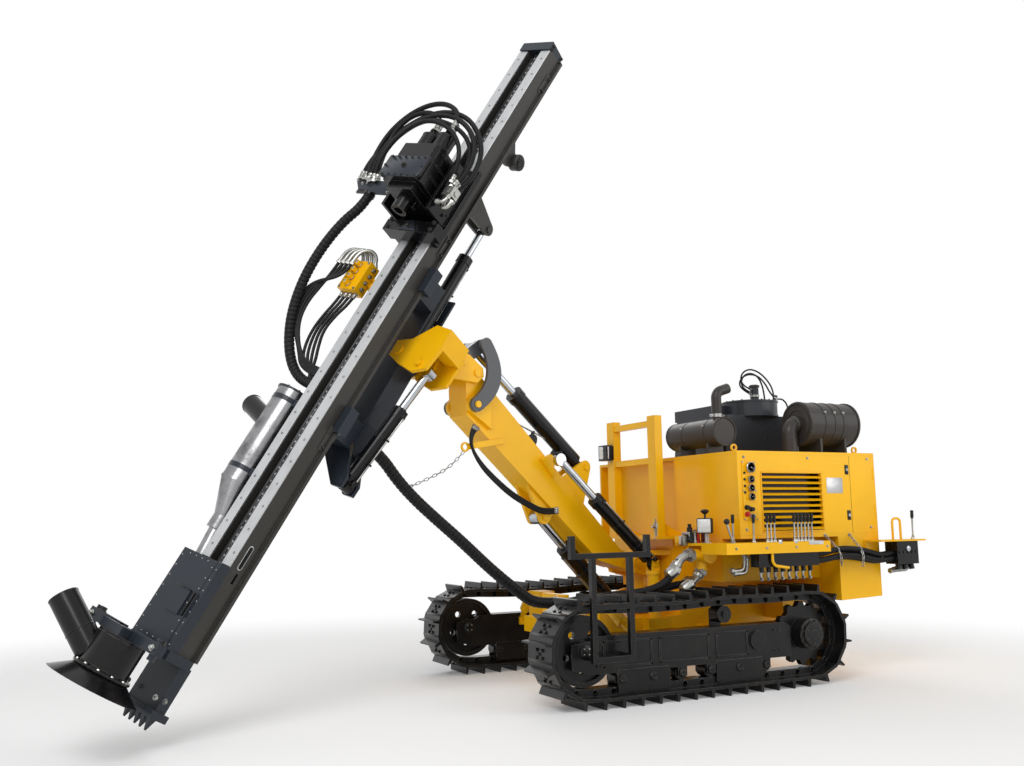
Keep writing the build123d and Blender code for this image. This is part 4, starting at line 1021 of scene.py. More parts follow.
def nut(shape, place, radius):
    """End of a hose: hexagon, neck and crimped sleeve, seated at z 0."""
    shape.turned(place, [(radius * 1.5, 0), (radius * 1.5, radius), (0, radius)], "zinc", 6)
    sleeve = [(1.02, 1.0), (1.02, 1.5), (1.25, 1.6), (1.25, 2.6), (1.18, 2.7), (1.25, 2.8), (1.25, 3.6),
              (1.0, 3.8)]
    shape.turned(place, [(radius * r, radius * h) for r, h in sleeve], "zinc", 14)


def fitted_hose(name, points, radius, body, ends, finish):
    """A hose whose crimped ends are added to the shape given."""
    for tip, after in ((points[0], points[1]), (points[-1], points[-2])):
        nut(ends, seat(tip, after - tip), radius)
    return hose(name, points, radius, finish, body)


def elbow(shape, points, radius):
    """A bent steel tube with a union nut at each end."""
    line = route_line(points, 6)
    shape.swept(line, radius, "zinc", 14)
    for tip, after in ((points[0], points[1]), (points[-1], points[-2])):
        place = seat(tip, after - tip)
        shape.turned(place, [(radius * 1.6, 0), (radius * 1.6, radius * 1.1), (radius * 1.3, radius * 1.3)],
                     "zinc", 6)
        shape.turned(place,
                     [(radius * 1.25, radius * 1.2), (radius * 1.25, radius * 2.0), (radius, radius * 2.1)],
                     "zinc", 14)


def link_chain(name, points, wire, body):
    """Welded links along a route, each a quarter turn from the one before."""
    step = wire * 5.4
    line = even(route_line(points), step)
    shape = Shape()
    for k, (a, b) in enumerate(zip(line, line[1:])):
        place = seat((a + b) / 2, b - a) @ Matrix.Rotation(math.pi / 2 * (k % 2), 4, "Z")
        loop = []
        for j in range(13):
            turn = 2 * math.pi * (j + 0.5) / 12
            straight = math.copysign(step * 0.3, math.sin(turn))
            loop.append(place @ Vector((wire * 1.5 * math.cos(turn), 0,
                                        wire * 1.5 * math.sin(turn) + straight)))
        shape.swept(loop, wire / 2, "zinc", 6)
    made = shape.done(name, body)
    line_length(line)
    return made


def lamp(shape, place, size):
    """Square lamp: finned housing, bezel and a pale lens with nine cells."""
    shape.box(place, (size, size, size * 0.42), "grip", size * 0.07)
    for k in range(5):
        fin = place @ Matrix.Translation((size * (k - 2) * 0.17, 0, -size * 0.12))
        shape.box(fin, (size * 0.05, size * 0.8, size * 0.13), "grip", size * 0.02)
    face = place @ Matrix.Translation((0, 0, size * 0.42))
    shape.box(face, (size * 0.86, size * 0.86, size * 0.03), "lens", size * 0.02)
    for row in (-1, 0, 1):
        for column in (-1, 0, 1):
            cell = face @ Matrix.Translation((size * 0.26 * row, size * 0.26 * column, size * 0.03))
            shape.turned(cell, [(size * 0.11, 0), (size * 0.09, size * 0.03), (size * 0.05, size * 0.01),
                                (0, size * 0.01)], "dial", 14)


# Axes and faces on the roof, in millimetres, and the braided hoses' radius in metres
MUFFLER_X, MUFFLER_Z = -1550.0, 1775.0
FILTER_Y, FILTER_Z = 640.0, 1835.0
COLLECTOR_FOOT = (-2090.0, 170.0, 1925.0)
HOUSING_FRONT = 250.0
BRAID_RADIUS = 0.0065

# Routes of the collector's braided hoses, in the machine's axes
ROOF_BRAIDS = (("left",
                [(-2090, 205, 2150), (-2010, 220, 2165), (-1958, 235, 2215), (-1968, 250, 2275),
                 (-2035, 260, 2305), (-2110, 270, 2285), (-2175, 280, 2235), (-2230, 288, 2160),
                 (-2240, 292, 2070), (-2185, 294, 1975), (-2118, 294, 1875), (-2050, 292, 1760),
                 (-2005, 288, 1690), (-1990, 285, 1608)]),
               ("middle",
                [(-2090, 190, 2130), (-2015, 210, 2145), (-1965, 230, 2190), (-1975, 250, 2250),
                 (-2045, 262, 2275), (-2115, 270, 2240), (-2148, 278, 2150), (-2152, 286, 2020),
                 (-2142, 292, 1910), (-2105, 294, 1810), (-2052, 292, 1700), (-2036, 290, 1608)]),
               ("right",
                [(-2274, 262, 2066), (-2340, 252, 2088), (-2398, 256, 2050), (-2398, 272, 1975),
                 (-2335, 292, 1920), (-2240, 304, 1880), (-2155, 308, 1830), (-2105, 308, 1750),
                 (-2084, 300, 1680), (-2080, 296, 1608)]),
               ("top",
                [(-2224, 326, 2066), (-2160, 338, 2108), (-2128, 325, 2185), (-2080, 295, 2250),
                 (-2005, 262, 2262), (-1950, 232, 2215), (-1975, 208, 2150), (-2094, 194, 2112)]))


class RIG_OT_roof(bpy.types.Operator):
    """Add the straps, rims, clamps and hoses on the hood's roof"""

    bl_idname = "rig.roof"
    bl_label = "Roof"

    def execute(self, context):
        roof = Shape()
        for y in (110.0, 380.0):
            strap = seat(machine(MUFFLER_X, y, MUFFLER_Z), LEFT)
            roof.band(strap, 0.1, 0.1075, 0, 0.018, "roof", 40)
            buckle = machine(MUFFLER_X, y + 9, MUFFLER_Z) + Vector((0.096, 0, 0.048))
            roof.bolt(seat(buckle, (0.9, 0, 0.45)), 0.013)
        rim = [(0.105, -0.004), (0.1085, -0.002), (0.1085, 0.009), (0.104, 0.012), (0.0995, 0.009),
               (0.0985, 0.002), (0.06, 0.0035), (0, 0.0035)]
        roof.turned(seat(machine(MUFFLER_X, 515, MUFFLER_Z), LEFT), rim, "roof", 48)
        roof.turned(seat(machine(MUFFLER_X, -60, MUFFLER_Z), -LEFT), rim, "roof", 48)
        clamp = seat(machine(MUFFLER_X, 440, 1888), UP)
        roof.band(clamp, 0.038, 0.0425, 0, 0.024, "zinc", 28)
        for side in (-1, 1):
            ear = seat(machine(MUFFLER_X + side * 52, 440, 1890), UP)
            roof.box(ear, (0.026, 0.012, 0.02), "zinc", 0.002)
            roof.bolt(seat(machine(MUFFLER_X + side * 56, 446, 1900), LEFT), 0.011, "zinc")

        ring = seat(machine(*COLLECTOR_FOOT), UP)
        roof.band(ring, 0.215, 0.222, 0, 0.012, "housing", 56)
        roof.turned(ring, [(0.215, 0.112), (0.222, 0.112), (0.222, 0.124), (0.215, 0.126)], "housing", 56)
        roof.bolt_circle(ring, 16, 0.196, 0.1245, 0.012, "roof", washer=True, first=0.5)
        for strip in ((-1726, -1720, 1610, 1925), (-2360, -2354, 1610, 1925), (-2360, -1720, 1918, 1925)):
            strip_on_side(roof, strip, HOUSING_FRONT, 1, 0.006, "housing", 0.002)
        for x in (-1745, -1905, -2065, -2225, -2335):
            roof.bolt(seat(machine(x, HOUSING_FRONT, 1905), LEFT), 0.012, "roof")

        canister = seat(machine(-2150, FILTER_Y, FILTER_Z), FORWARD)
        roof.turned(canister,
                    [(0.165, -0.006), (0.169, -0.004), (0.169, 0.008), (0.163, 0.014), (0.150, 0.014),
                     (0.146, 0.006), (0.118, 0.004), (0.114, 0.010), (0.104, 0.010), (0.100, 0.004),
                     (0, 0.004)], "roof", 56)
        for x in (-2290, -2385, -2470):
            strap = seat(machine(x, FILTER_Y, FILTER_Z), FORWARD)
            roof.band(strap, 0.16, 0.1685, 0, 0.016, "roof", 56)
            buckle = machine(x + 8, FILTER_Y, FILTER_Z) + Vector((0, 0.150, 0.078))
            roof.bolt(seat(buckle, (0, 0.88, 0.46)), 0.014)
        roof.turned(seat(machine(-2600, FILTER_Y, FILTER_Z), -FORWARD),
                    [(0.165, 0), (0.172, 0), (0.172, 0.014), (0.15, 0.024), (0, 0.026)], "roof", 56)
        roof.turned(seat(machine(-2150, FILTER_Y, FILTER_Z), (1, 0, -0.1)),
                    [(0.058, 0.03), (0.0625, 0.03), (0.0625, 0.046), (0.058, 0.046)], "zinc", 32)

        stub = seat(machine(-2130, 190, 2090), UP)
        roof.turned(stub, [(0.034, 0), (0.038, 0.002), (0.038, 0.018), (0.034, 0.02)], "zinc", 24)
        roof.turned(stub, [(0.034, 0.078), (0.042, 0.08), (0.042, 0.094), (0.03, 0.1), (0, 0.1)], "roof",
                    28)
        post = seat(machine(-2249, 294, 2046), UP)
        roof.turned(post,
                    [(0.022, 0), (0.022, 0.006), (0.011, 0.008), (0.011, 0.018), (0.019, 0.02),
                     (0.019, 0.05), (0.008, 0.056), (0, 0.056)], "roof", 20)
        elbow(roof, through(machine, (-2224, 326, 2066), (-2274, 262, 2066)), 0.010)

        for name, places in ROOF_BRAIDS:
            fitted_hose(f"roof_hose_{name}", through(machine, *places), BRAID_RADIUS, "chassis", roof,
                        "braid")
        roof.done("roof_fittings", "chassis")
        return {"FINISHED"}


# Guard turns and elbows of the air hoses, and the wire of the chains' links, in metres
AIR_GUARD_DEPTH = 0.0035
AIR_ELBOW_RADIUS = 0.030
CHAIN_WIRE = 0.0055


def make_lamps():
    """Two work lamps, with the shelf's box and stop knob."""
    lamps = Shape()
    lamp(lamps, seat(machine(-1040, -285, 1662), (1, 0.35, 0), UP), 0.112)
    lamps.turned(seat(machine(-1062, -292, 1585), UP), [(0.009, 0), (0.009, 0.03), (0, 0.03)], "zinc", 12)
    lamp(lamps, seat(machine(-1150, 772, 1092), (1, 0.75, 0), UP), 0.105)
    lamps.box(seat(machine(-1155, 765, SHELF_TOP), UP), (0.05, 0.05, 0.006), "zinc")
    lamps.turned(seat(machine(-1155, 765, 980), UP), [(0.01, 0), (0.01, 0.065), (0, 0.065)], "zinc", 12)
    lamps.box(seat(machine(-1200, 690, 1050), UP), (0.06, 0.1, 0.09), "yellow", 0.004)
    lamps.box(seat(machine(-1195, 700, SHELF_TOP), UP), (0.02, 0.07, 0.076), "zinc", 0.002)
    knob = seat(machine(-1175, 735, 1140), UP)
    lamps.turned(knob,
                 [(0.007, 0), (0.007, 0.03), (0.018, 0.036), (0.030, 0.05), (0.030, 0.056), (0.018, 0.064),
                  (0, 0.066)], "grip", 24)
    lamps.done("lamps", "chassis")


def make_levers():
    """Control levers in a long and a short row, with two single ones."""
    levers = Shape()
    places = [(-1500 - 32 * k, 990) for k in range(3)] + [(-1740 - 32 * k, 990) for k in range(6)]
    for x, y in places + [(-1390, 980), (-1230, 960)]:
        lever(levers, machine(x, y, SHELF_TOP), machine(x, y + 4, 1165), 0.06)
    made = levers.done("levers", "chassis")
    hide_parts("control_levers")


def make_deck_fittings():
    """Regulator, valves, elbows and bolts of the shelf and the rear stand."""
    deck = Shape()
    body = machine(-1140, 600, 1035)
    deck.box(seat(body - Vector((0, 0, 0.06)), UP), (0.07, 0.11, 0.075), "zinc", 0.008)
    deck.turned(seat(body + Vector((0, 0, 0.015)), UP),
                [(0.02, 0), (0.02, 0.03), (0.013, 0.034), (0.013, 0.055), (0, 0.057)], "grip", 18)
    dial(deck, seat(body + Vector((0.036, 0.02, -0.02)), (1, 0.5, 0), LEFT), 0.024, 2.4)
    for k, finish in enumerate(("red", "zinc", "grip")):
        deck.turned(seat(machine(-1165 + 30 * k, 665, SHELF_TOP), UP),
                    [(0.014, 0), (0.014, 0.02), (0.010, 0.024), (0.010, 0.085), (0.014, 0.09), (0, 0.096)],
                    finish, 14)
    deck.box(seat(machine(-1092, 560, SHELF_TOP), UP), (0.04, 0.10, 0.05), "yellow", 0.004)
    deck.box(seat(machine(-1088, 610, 990), FORWARD), (0.07, 0.06, 0.03), "zinc", 0.004)
    device = seat(machine(-1075, 300, 1000), UP)
    deck.turned(device, [(0.028, 0), (0.028, 0.012), (0.019, 0.016), (0.019, 0.075), (0.026, 0.078),
                         (0.026, 0.115), (0.016, 0.12), (0.016, 0.145), (0, 0.147)], "zinc", 18)
    deck.turned(device @ Matrix.Translation((0, 0, 0.09)) @ Matrix.Rotation(math.pi / 2, 4, "Y"),
                [(0.011, -0.045), (0.011, 0.045), (0, 0.045)], "zinc", 14)
    ball = seat(machine(-1150, 1000, 1118), UP)
    deck.turned(ball,
                [(0, -0.021), (0.012, -0.017), (0.019, -0.008), (0.021, 0), (0.019, 0.008), (0.012, 0.017),
                 (0, 0.021)], "grip", 18)
    deck.swept(through(machine, (-1150, 1000, 1104), (-1195, 1000, SHELF_TOP)), 0.0075, "zinc", 12)
    deck.turned(seat(machine(-1195, 1000, SHELF_TOP), UP),
                [(0.02, 0), (0.02, 0.008), (0.012, 0.014), (0, 0.014)], "zinc", 18)
    elbow(deck,
          through(machine, (-1190, 650, 788), (-1165, 650, 755), (-1115, 652, 715), (-1050, 654, 699)),
          AIR_ELBOW_RADIUS)
    elbow(deck, through(machine, (-1088, 690, 895), (-1020, 692, 893), (-965, 692, 850), (-925, 690, 790)),
          AIR_ELBOW_RADIUS)
    for x, z in ((-1366, 900), (-1390, 880)):
        elbow(deck,
              through(machine, (x, 900, z), (x, 905, z - 95), (x + 60, 905, z - 118),
                      (x + 120, 900, z - 110)), 0.013)
    for k in range(8):
        x = -1450 - 62 * k
        elbow(deck, through(machine, (x, 962, 775), (x, 962, 745), (x - 8, 956, 728), (x - 26, 940, 722)),
              0.0085)
    for k in range(4):
        x = -2775 - 24 * k
        elbow(deck,
              through(machine, (x, 962, 792), (x + 4, 962, 752), (x + 60, 964, 738),
                      (x + 125 - 6 * k, 966, 742 + 8 * k)), 0.0125)
    for k in range(5):
        deck.bolt(seat(machine(-2850 + 42 * k, 1040, 875), LEFT), 0.016, "track")
    deck.turned(seat(machine(-2765, 1042, 900), LEFT),
                [(0.02, 0), (0.02, 0.01), (0.012, 0.014), (0, 0.014)], "chrome", 20)
    lever(deck, machine(-2890, 985, 967), machine(-2896, 985, 1178), 0.06)
    for x in (-1180, -1440, -1700, -1980):
        deck.bolt(seat(machine(x, SHELF_FRONT, 938), LEFT), 0.012, "zinc")
    for x in (-2105, -2340):
        deck.bolt(seat(machine(x, HOOD_SIDE, 1009), LEFT), 0.016, "zinc")
    for y, z in ((700, 690), (692, 790)):
        deck.turned(seat(machine(-1040 if z == 690 else -925, y, z), (1, 0, -0.6)),
                    [(0.042, -0.02), (0.042, 0.05), (0.036, 0.06)], "zinc", 20)
    deck.done("deck_fittings", "chassis")


def make_deck_hoses():
    """The two air hoses, the four guarded side hoses and the chains that hold them."""
    wrapped_hose("air_hose_upper",
                 through(machine, (-1088, 690, 895), (-1020, 692, 893), (-965, 692, 850), (-925, 690, 790),
                         (-870, 682, 715), (-760, 655, 665), (-610, 600, 645), (-470, 520, 635),
                         (-350, 400, 610), (-250, 328, 585)), 0.029, 0.020, AIR_GUARD_DEPTH, "hose",
                 "chassis")
    wrapped_hose("air_hose_lower",
                 through(machine, (-1190, 650, 788), (-1165, 650, 755), (-1115, 652, 715),
                         (-1050, 654, 699), (-940, 640, 690), (-840, 590, 645), (-720, 520, 600),
                         (-580, 440, 575), (-420, 340, 550), (-250, 300, 530)), 0.026, 0.018,
                 AIR_GUARD_DEPTH, "hose", "chassis")
    for k, (y, z) in enumerate(((945, 872), (988, 876), (948, 832), (992, 838))):
        low = (0, 6, -10, -4)[k]
        places = [(-1930, y, z), (-2030, y, z + 12 + low), (-2150, y, z + 34 + low),
                  (-2290, y, z + 30 + low), (-2430, y, z + 6 + low), (-2560, y - 4, z - 22),
                  (-2660, y, z - 4)]
        wrapped_hose(f"side_hose_{k + 1}", through(machine, *places), 0.0195, 0.014, 0.0025, "hose",
                     "chassis", "side_hoses", 14)
    link_chain("hose_chain_front",
               through(machine, (-2105, 906, 1009), (-2110, 950, 965), (-2125, 1014, 905),
                       (-2135, 1022, 850), (-2142, 1008, 800)), CHAIN_WIRE, "chassis")
    link_chain("hose_chain_rear",
               through(machine, (-2340, 906, 1009), (-2342, 955, 955), (-2345, 1016, 890),
                       (-2345, 1022, 840), (-2343, 1008, 785)), CHAIN_WIRE, "chassis")


class RIG_OT_deck(bpy.types.Operator):
    """Add the lamps, levers, regulator, elbows, valve hoses and chains of the control deck"""

    bl_idname = "rig.deck"
    bl_label = "Control deck"

    def execute(self, context):
        make_lamps()
        make_levers()
        make_deck_fittings()
        make_deck_hoses()
        return {"FINISHED"}


# Feed


def on_face(w, m, n):
    """Seat on the front of the feed, x across it."""
    return seat(on_feed(w, m, n), FEED_FACE, FEED_SIDE)


def on_flank(w, m, n, outward=1):
    """Seat on a side of the feed, x along it."""
    return seat(on_feed(w, m, n), FEED_SIDE * outward, FEED_UP)


def rivet(shape, place, radius=0.0045):
    """Domed rivet head."""
    shape.turned(place, [(radius, 0), (radius * 0.75, radius * 0.4), (0, radius * 0.6)], "zinc", 8)


def stadium(long, wide, corners):
    """Outline with round ends, long in x."""
    outline = []
    for side in (1, -1):
        for k in range(corners + 1):
            turn = math.pi / 2 - math.pi * k / corners if side > 0 else -math.pi / 2 - math.pi * k / corners
            outline.append((side * long / 2 + wide / 2 * math.cos(turn), wide / 2 * math.sin(turn)))
    return outline


# Faces and levels of the feed, out from the beam's pin line, in millimetres
BEAM_RIGHT = 83.0
RAIL_FACE = 417.6
COVER_FACE = 485.0
CHAIN_MIDDLE = 387.0
SEPARATOR_LEVEL = 330.0
MANIFOLD_FACE = 430.0
TUBE_W, TUBE_LEVEL = -72.5, 367.0

# Ends of the chain's run and the pitch of its links
TRAVEL = (-1640.0, 2280.0)
CHAIN_PITCH = 43.5


def make_feed_chain():
    """Roller chain in its channel and the tube beside it."""
    chain = Shape()
    links = int((TRAVEL[1] - TRAVEL[0]) / CHAIN_PITCH)
    plate = stadium(CHAIN_PITCH / 1000, 0.022, 4)
    for k in range(links):
        m = TRAVEL[0] + CHAIN_PITCH * (k + 0.5)
        for w in ((-36.0, -22.0, -17.0, -3.0) if k % 2 else (-33.5, -24.5, -14.5, -5.5)):
            chain.plate(on_flank(w, m, CHAIN_MIDDLE), plate, 0.0025, "chain", 0.0006)
        for w in (-34.0, -15.0):
            chain.turned(on_flank(w, m - CHAIN_PITCH / 2, CHAIN_MIDDLE),
                         [(0.0095, 0), (0.0095, 0.011), (0, 0.011)], "rail", 10)
    chain.swept(through(on_feed, (TUBE_W, TRAVEL[0], TUBE_LEVEL), (TUBE_W, TRAVEL[1], TUBE_LEVEL)), 0.017,
                "head", 18)
    made = chain.done("feed_chain_links", "feed", 30.0)
    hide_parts("feed_chain")


def make_beam_fittings(across):
    """Rivets, bolts, brackets, slot and pulley cap of the beam; the slot is painted shade inside a steel
    rim.
    """
    feed = Shape()
    for k in range(8):
        m = -2125 + 62 * k
        for w in (-226, 46, 84):
            rivet(feed, on_face(w, m, COVER_FACE))
    for k in range(1, 5):
        rivet(feed, on_face(-226 + 54 * k, -1668, COVER_FACE))
        rivet(feed, on_face(-226 + 54 * k, -2132, COVER_FACE))
    # a thin dark line along the joint between the cover's plates
    feed.box(on_face(65, -1900, COVER_FACE), (0.003, 0.49, 0.0008), "recess_shade", 0.0002)
    for w, m, x, y in ((-45, -1842, 0.122, 0.006), (60, -1908, 0.006, 0.135)):
        feed.box(on_face(w, m, COVER_FACE + 9), (x, y, 0.014), "head", 0.002)
    rivet(feed, on_face(40, -1905, COVER_FACE + 9), 0.006)
    for k in range(27):
        m = TRAVEL[0] + 75 + 145 * k
        for w in (-142, 56):
            feed.turned(on_face(w, m, RAIL_FACE),
                        [(0.0075, 0), (0.0075, 0.0012), (0.004, 0.0012), (0.0038, 0.0004), (0, 0.0004)],
                        "chain", 12)
    slot = stadium(0.11, 0.026, 6)
    # painted shade stands in for the open slot in the beam's side; the bright rim after it goes round it
    feed.plate(on_flank(BEAM_RIGHT - 0.5, -1560, 350), slot, 0.0012, "recess_shade", 0.0003)
    rim = stadium(0.114, 0.034, 6)
    feed.plate(on_flank(BEAM_RIGHT - 1.2, -1560, 350), rim, 0.0016, "rail", 0.0003)
    for k in range(3):
        m = 2080 - 1420 * k
        feed.box(on_flank(BEAM_RIGHT, m, 300), (0.16, 0.05, 0.008), "beam", 0.003)
        for s in (-55, 55):
            feed.bolt(on_flank(BEAM_RIGHT + 8, m + s, 300), across * 0.8, "track")
    for w, n in ((-150, 300), (-150, 385), (60, 300), (60, 385)):
        feed.bolt(seat(on_feed(w, 2354, n), FEED_UP), across * 0.7, "zinc")
    for m in (2305, 2335):
        for n in (290, 400):
            feed.bolt(on_flank(BEAM_RIGHT + 1, m, n), across * 0.7, "track")
    hub = on_flank(112, 1515, 153)
    feed.turned(hub,
                [(0.054, 0), (0.054, 0.004), (0.044, 0.008), (0.034, 0.008), (0.032, 0.016), (0, 0.016)],
                "head", 28)
    feed.bolt_circle(hub, 6, 0.022, 0.015, 0.010, "track")
    feed.done("feed_fittings", "feed")


def make_separator_fittings():
    """Clamps, lid, inlet sleeve and bolts of the dust separator."""
    pipe = Shape()
    axis = seat(on_feed(-347, 0, SEPARATOR_LEVEL), FEED_UP)
    for m in (-640, -1120):
        pipe.band(axis @ Matrix.Translation((0, 0, m / 1000)), 0.1, 0.1075, 0, 0.03, "slate", 40)
        pipe.box(seat(on_feed(-255, m + 15, SEPARATOR_LEVEL), FEED_SIDE, FEED_UP), (0.05, 0.09, 0.075),
                 "slate", 0.004)
        for n in (300, 360):
            pipe.bolt(seat(on_feed(-262, m + 30, n), FEED_UP), 0.016, "zinc")
    pipe.turned(axis @ Matrix.Translation((0, 0, -0.56)),
                [(0.105, 0), (0.112, 0.001), (0.112, 0.012), (0.1, 0.014), (0, 0.014)], "slate", 40)
    pipe.bolt_circle(axis, 8, 0.094, -0.5465, 0.012)
    inlet = seat(on_feed(-407, -770, SEPARATOR_LEVEL),
                 on_feed(-645, -690, SEPARATOR_LEVEL) - on_feed(-407, -770, SEPARATOR_LEVEL))
    pipe.band(inlet, 0.062, 0.067, 0.03, 0.05, "head", 32)
    pipe.turned(inlet, [(0.0635, 0.05), (0.0635, 0.245), (0.066, 0.247), (0.066, 0.2505), (0.058, 0.2505),
                        (0.057, 0.21), (0, 0.2)], "head", 32)
    pipe.band(axis @ Matrix.Translation((0, 0, -1.19)), 0.105, 0.1085, 0, 0.012, "polished", 40)
    pipe.done("separator_fittings", "feed")


def make_manifold():
    """Coils, tubes, ports and hoses of the feed's valve block."""
    valves = Shape()
    for k in range(4):
        w = -420 + 40 * k
        elbow(valves,
              through(on_feed, (w, 398, 372), (w, 450, 385), (w - 22, 482, MANIFOLD_FACE),
                      (w - 60, 455, 468), (w - 82, 395, 480), (w - 88, 335, 470)), 0.0125)
        coil = on_face(-360, (215, 265, 315, 365)[k], MANIFOLD_FACE)
        valves.turned(coil,
                      [(0.019, 0.004), (0.019, 0.008), (0.0165, 0.011), (0.0165, 0.034), (0.012, 0.038),
                       (0.007, 0.045), (0, 0.046)], "zinc", 18)
        low = seat(on_feed(w, 181, 385), -FEED_UP)
        nut(valves, low, 0.010)
        side = seat(on_feed(-279, 215 + 50 * k, 385), FEED_SIDE)
        valves.turned(side, [(0.016, 0), (0.016, 0.006), (0.010, 0.01), (0.010, 0.02), (0, 0.02)], "zinc",
                      6)
    for w in (-425, -295):
        for m in (192, 388):
            valves.bolt(on_face(w, m, MANIFOLD_FACE), 0.012, "zinc")
    valves.done("manifold_fittings", "feed")
    for k in range(4):
        w = -420 + 40 * k
        hose(f"manifold_hose_{k + 1}", [
            on_feed(w, 178, 385), on_feed(w - 4, 100, CHAIN_MIDDLE), on_feed(w - 26 - 6 * k, 0, 392),
            on_feed(w - 38 - 8 * k, -120, 396), on_feed(w - 20, -240, 394), on_feed(w + 24, -340, 386),
            on_feed(-232 - 8 * k, -412 - 26 * k, 372), on_feed(-172, -430 - 30 * k, 365),
        ], 0.010, "braid", "feed")
        hose(f"bundle_hose_{k + 1}",
             [on_feed(w - 88, 338, 470), on_feed(w - 92, 240, 472),
              on_feed(-505 - 14 * k, 130, 492 + 14 * k), on_feed(-520 - 14 * k, -10, 500 + 12 * k),
              on_feed(-505 - 10 * k, -150, 480 + 8 * k), on_feed(-440, -290, 420),
              on_feed(-330 - 6 * k, -370 - 16 * k, 385), on_feed(-172, -380 - 14 * k, 385)], 0.011, "braid",
             "feed")


class RIG_OT_feed(bpy.types.Operator):
    """Add the roller chain, rivets, cap, pulley, manifold and separator fittings of the feed"""

    bl_idname = "rig.feed"
    bl_label = "Feed"

    def execute(self, context):
        across = context.scene.rig_sizes.bolt_across
        make_feed_chain()
        make_beam_fittings(across)
        make_separator_fittings()
        make_manifold()
        return {"FINISHED"}


# Face of the gearbox cover, in millimetres
FRONT_COVER = 800.0

# Guards, hoses and steel tubes of the head, in metres
HEAD_GUARD_PITCH = 0.013
HEAD_GUARD_DEPTH = 0.0022
MOTOR_HOSE_RADIUS = 0.0165
MOTOR_TUBE_RADIUS = 0.0182

# Hoses from the valve block round to the guard, outermost first, in the feed's axes
HEAD_ARCS = (("outer", 0.0165,
              [(190, 850, 585), (228, 905, 578), (272, 965, 575), (288, 1070, 585), (264, 1190, 606),
               (190, 1300, 640), (85, 1385, 675), (-60, 1428, 695), (-215, 1410, 705), (-360, 1325, 700),
               (-480, 1215, 680), (-560, 1090, 655), (-590, 980, 640), (-575, 888, 632)]),
             ("second", 0.0165,
              [(190, 855, 610), (222, 915, 608), (250, 985, 610), (258, 1085, 622), (232, 1190, 645),
               (160, 1285, 676), (50, 1352, 700), (-85, 1385, 715), (-225, 1360, 722), (-350, 1275, 712),
               (-455, 1170, 690), (-525, 1060, 665), (-545, 965, 645), (-535, 882, 632)]),
             ("third", 0.0145,
              [(188, 870, 590), (205, 940, 590), (228, 1020, 600), (226, 1110, 620), (182, 1205, 650),
               (95, 1275, 682), (-20, 1318, 705), (-140, 1335, 722), (-255, 1310, 726), (-360, 1235, 715),
               (-445, 1140, 692), (-495, 1045, 668), (-505, 960, 648), (-496, 880, 632)]),
             ("fourth", 0.0145,
              [(186, 880, 625), (196, 950, 640), (200, 1030, 660), (178, 1120, 690), (120, 1195, 720),
               (35, 1250, 745), (-70, 1282, 762), (-180, 1280, 766), (-285, 1240, 752), (-375, 1160, 728),
               (-430, 1075, 700), (-455, 990, 670), (-456, 925, 650), (-450, 876, 632)]))

# Hoses from the two motors, in the feed's axes
MOTOR_ROUTES = (
    ("left", [(-112, 1252, 690), (-112, 1325, 692), (-165, 1385, 705), (-255, 1405, 718), (-355, 1380, 722),
              (-435, 1305, 712), (-475, 1205, 690), (-480, 1100, 665), (-470, 1000, 648), (-440, 930, 640),
              (-410, 872, 632)]),
    ("right", [(22, 1252, 690), (22, 1345, 692), (-25, 1425, 702), (-110, 1470, 715), (-215, 1475, 725),
               (-325, 1430, 730), (-430, 1340, 722), (-510, 1225, 700), (-545, 1100, 672), (-548, 990, 650),
               (-520, 915, 640), (-470, 862, 632)]),
)


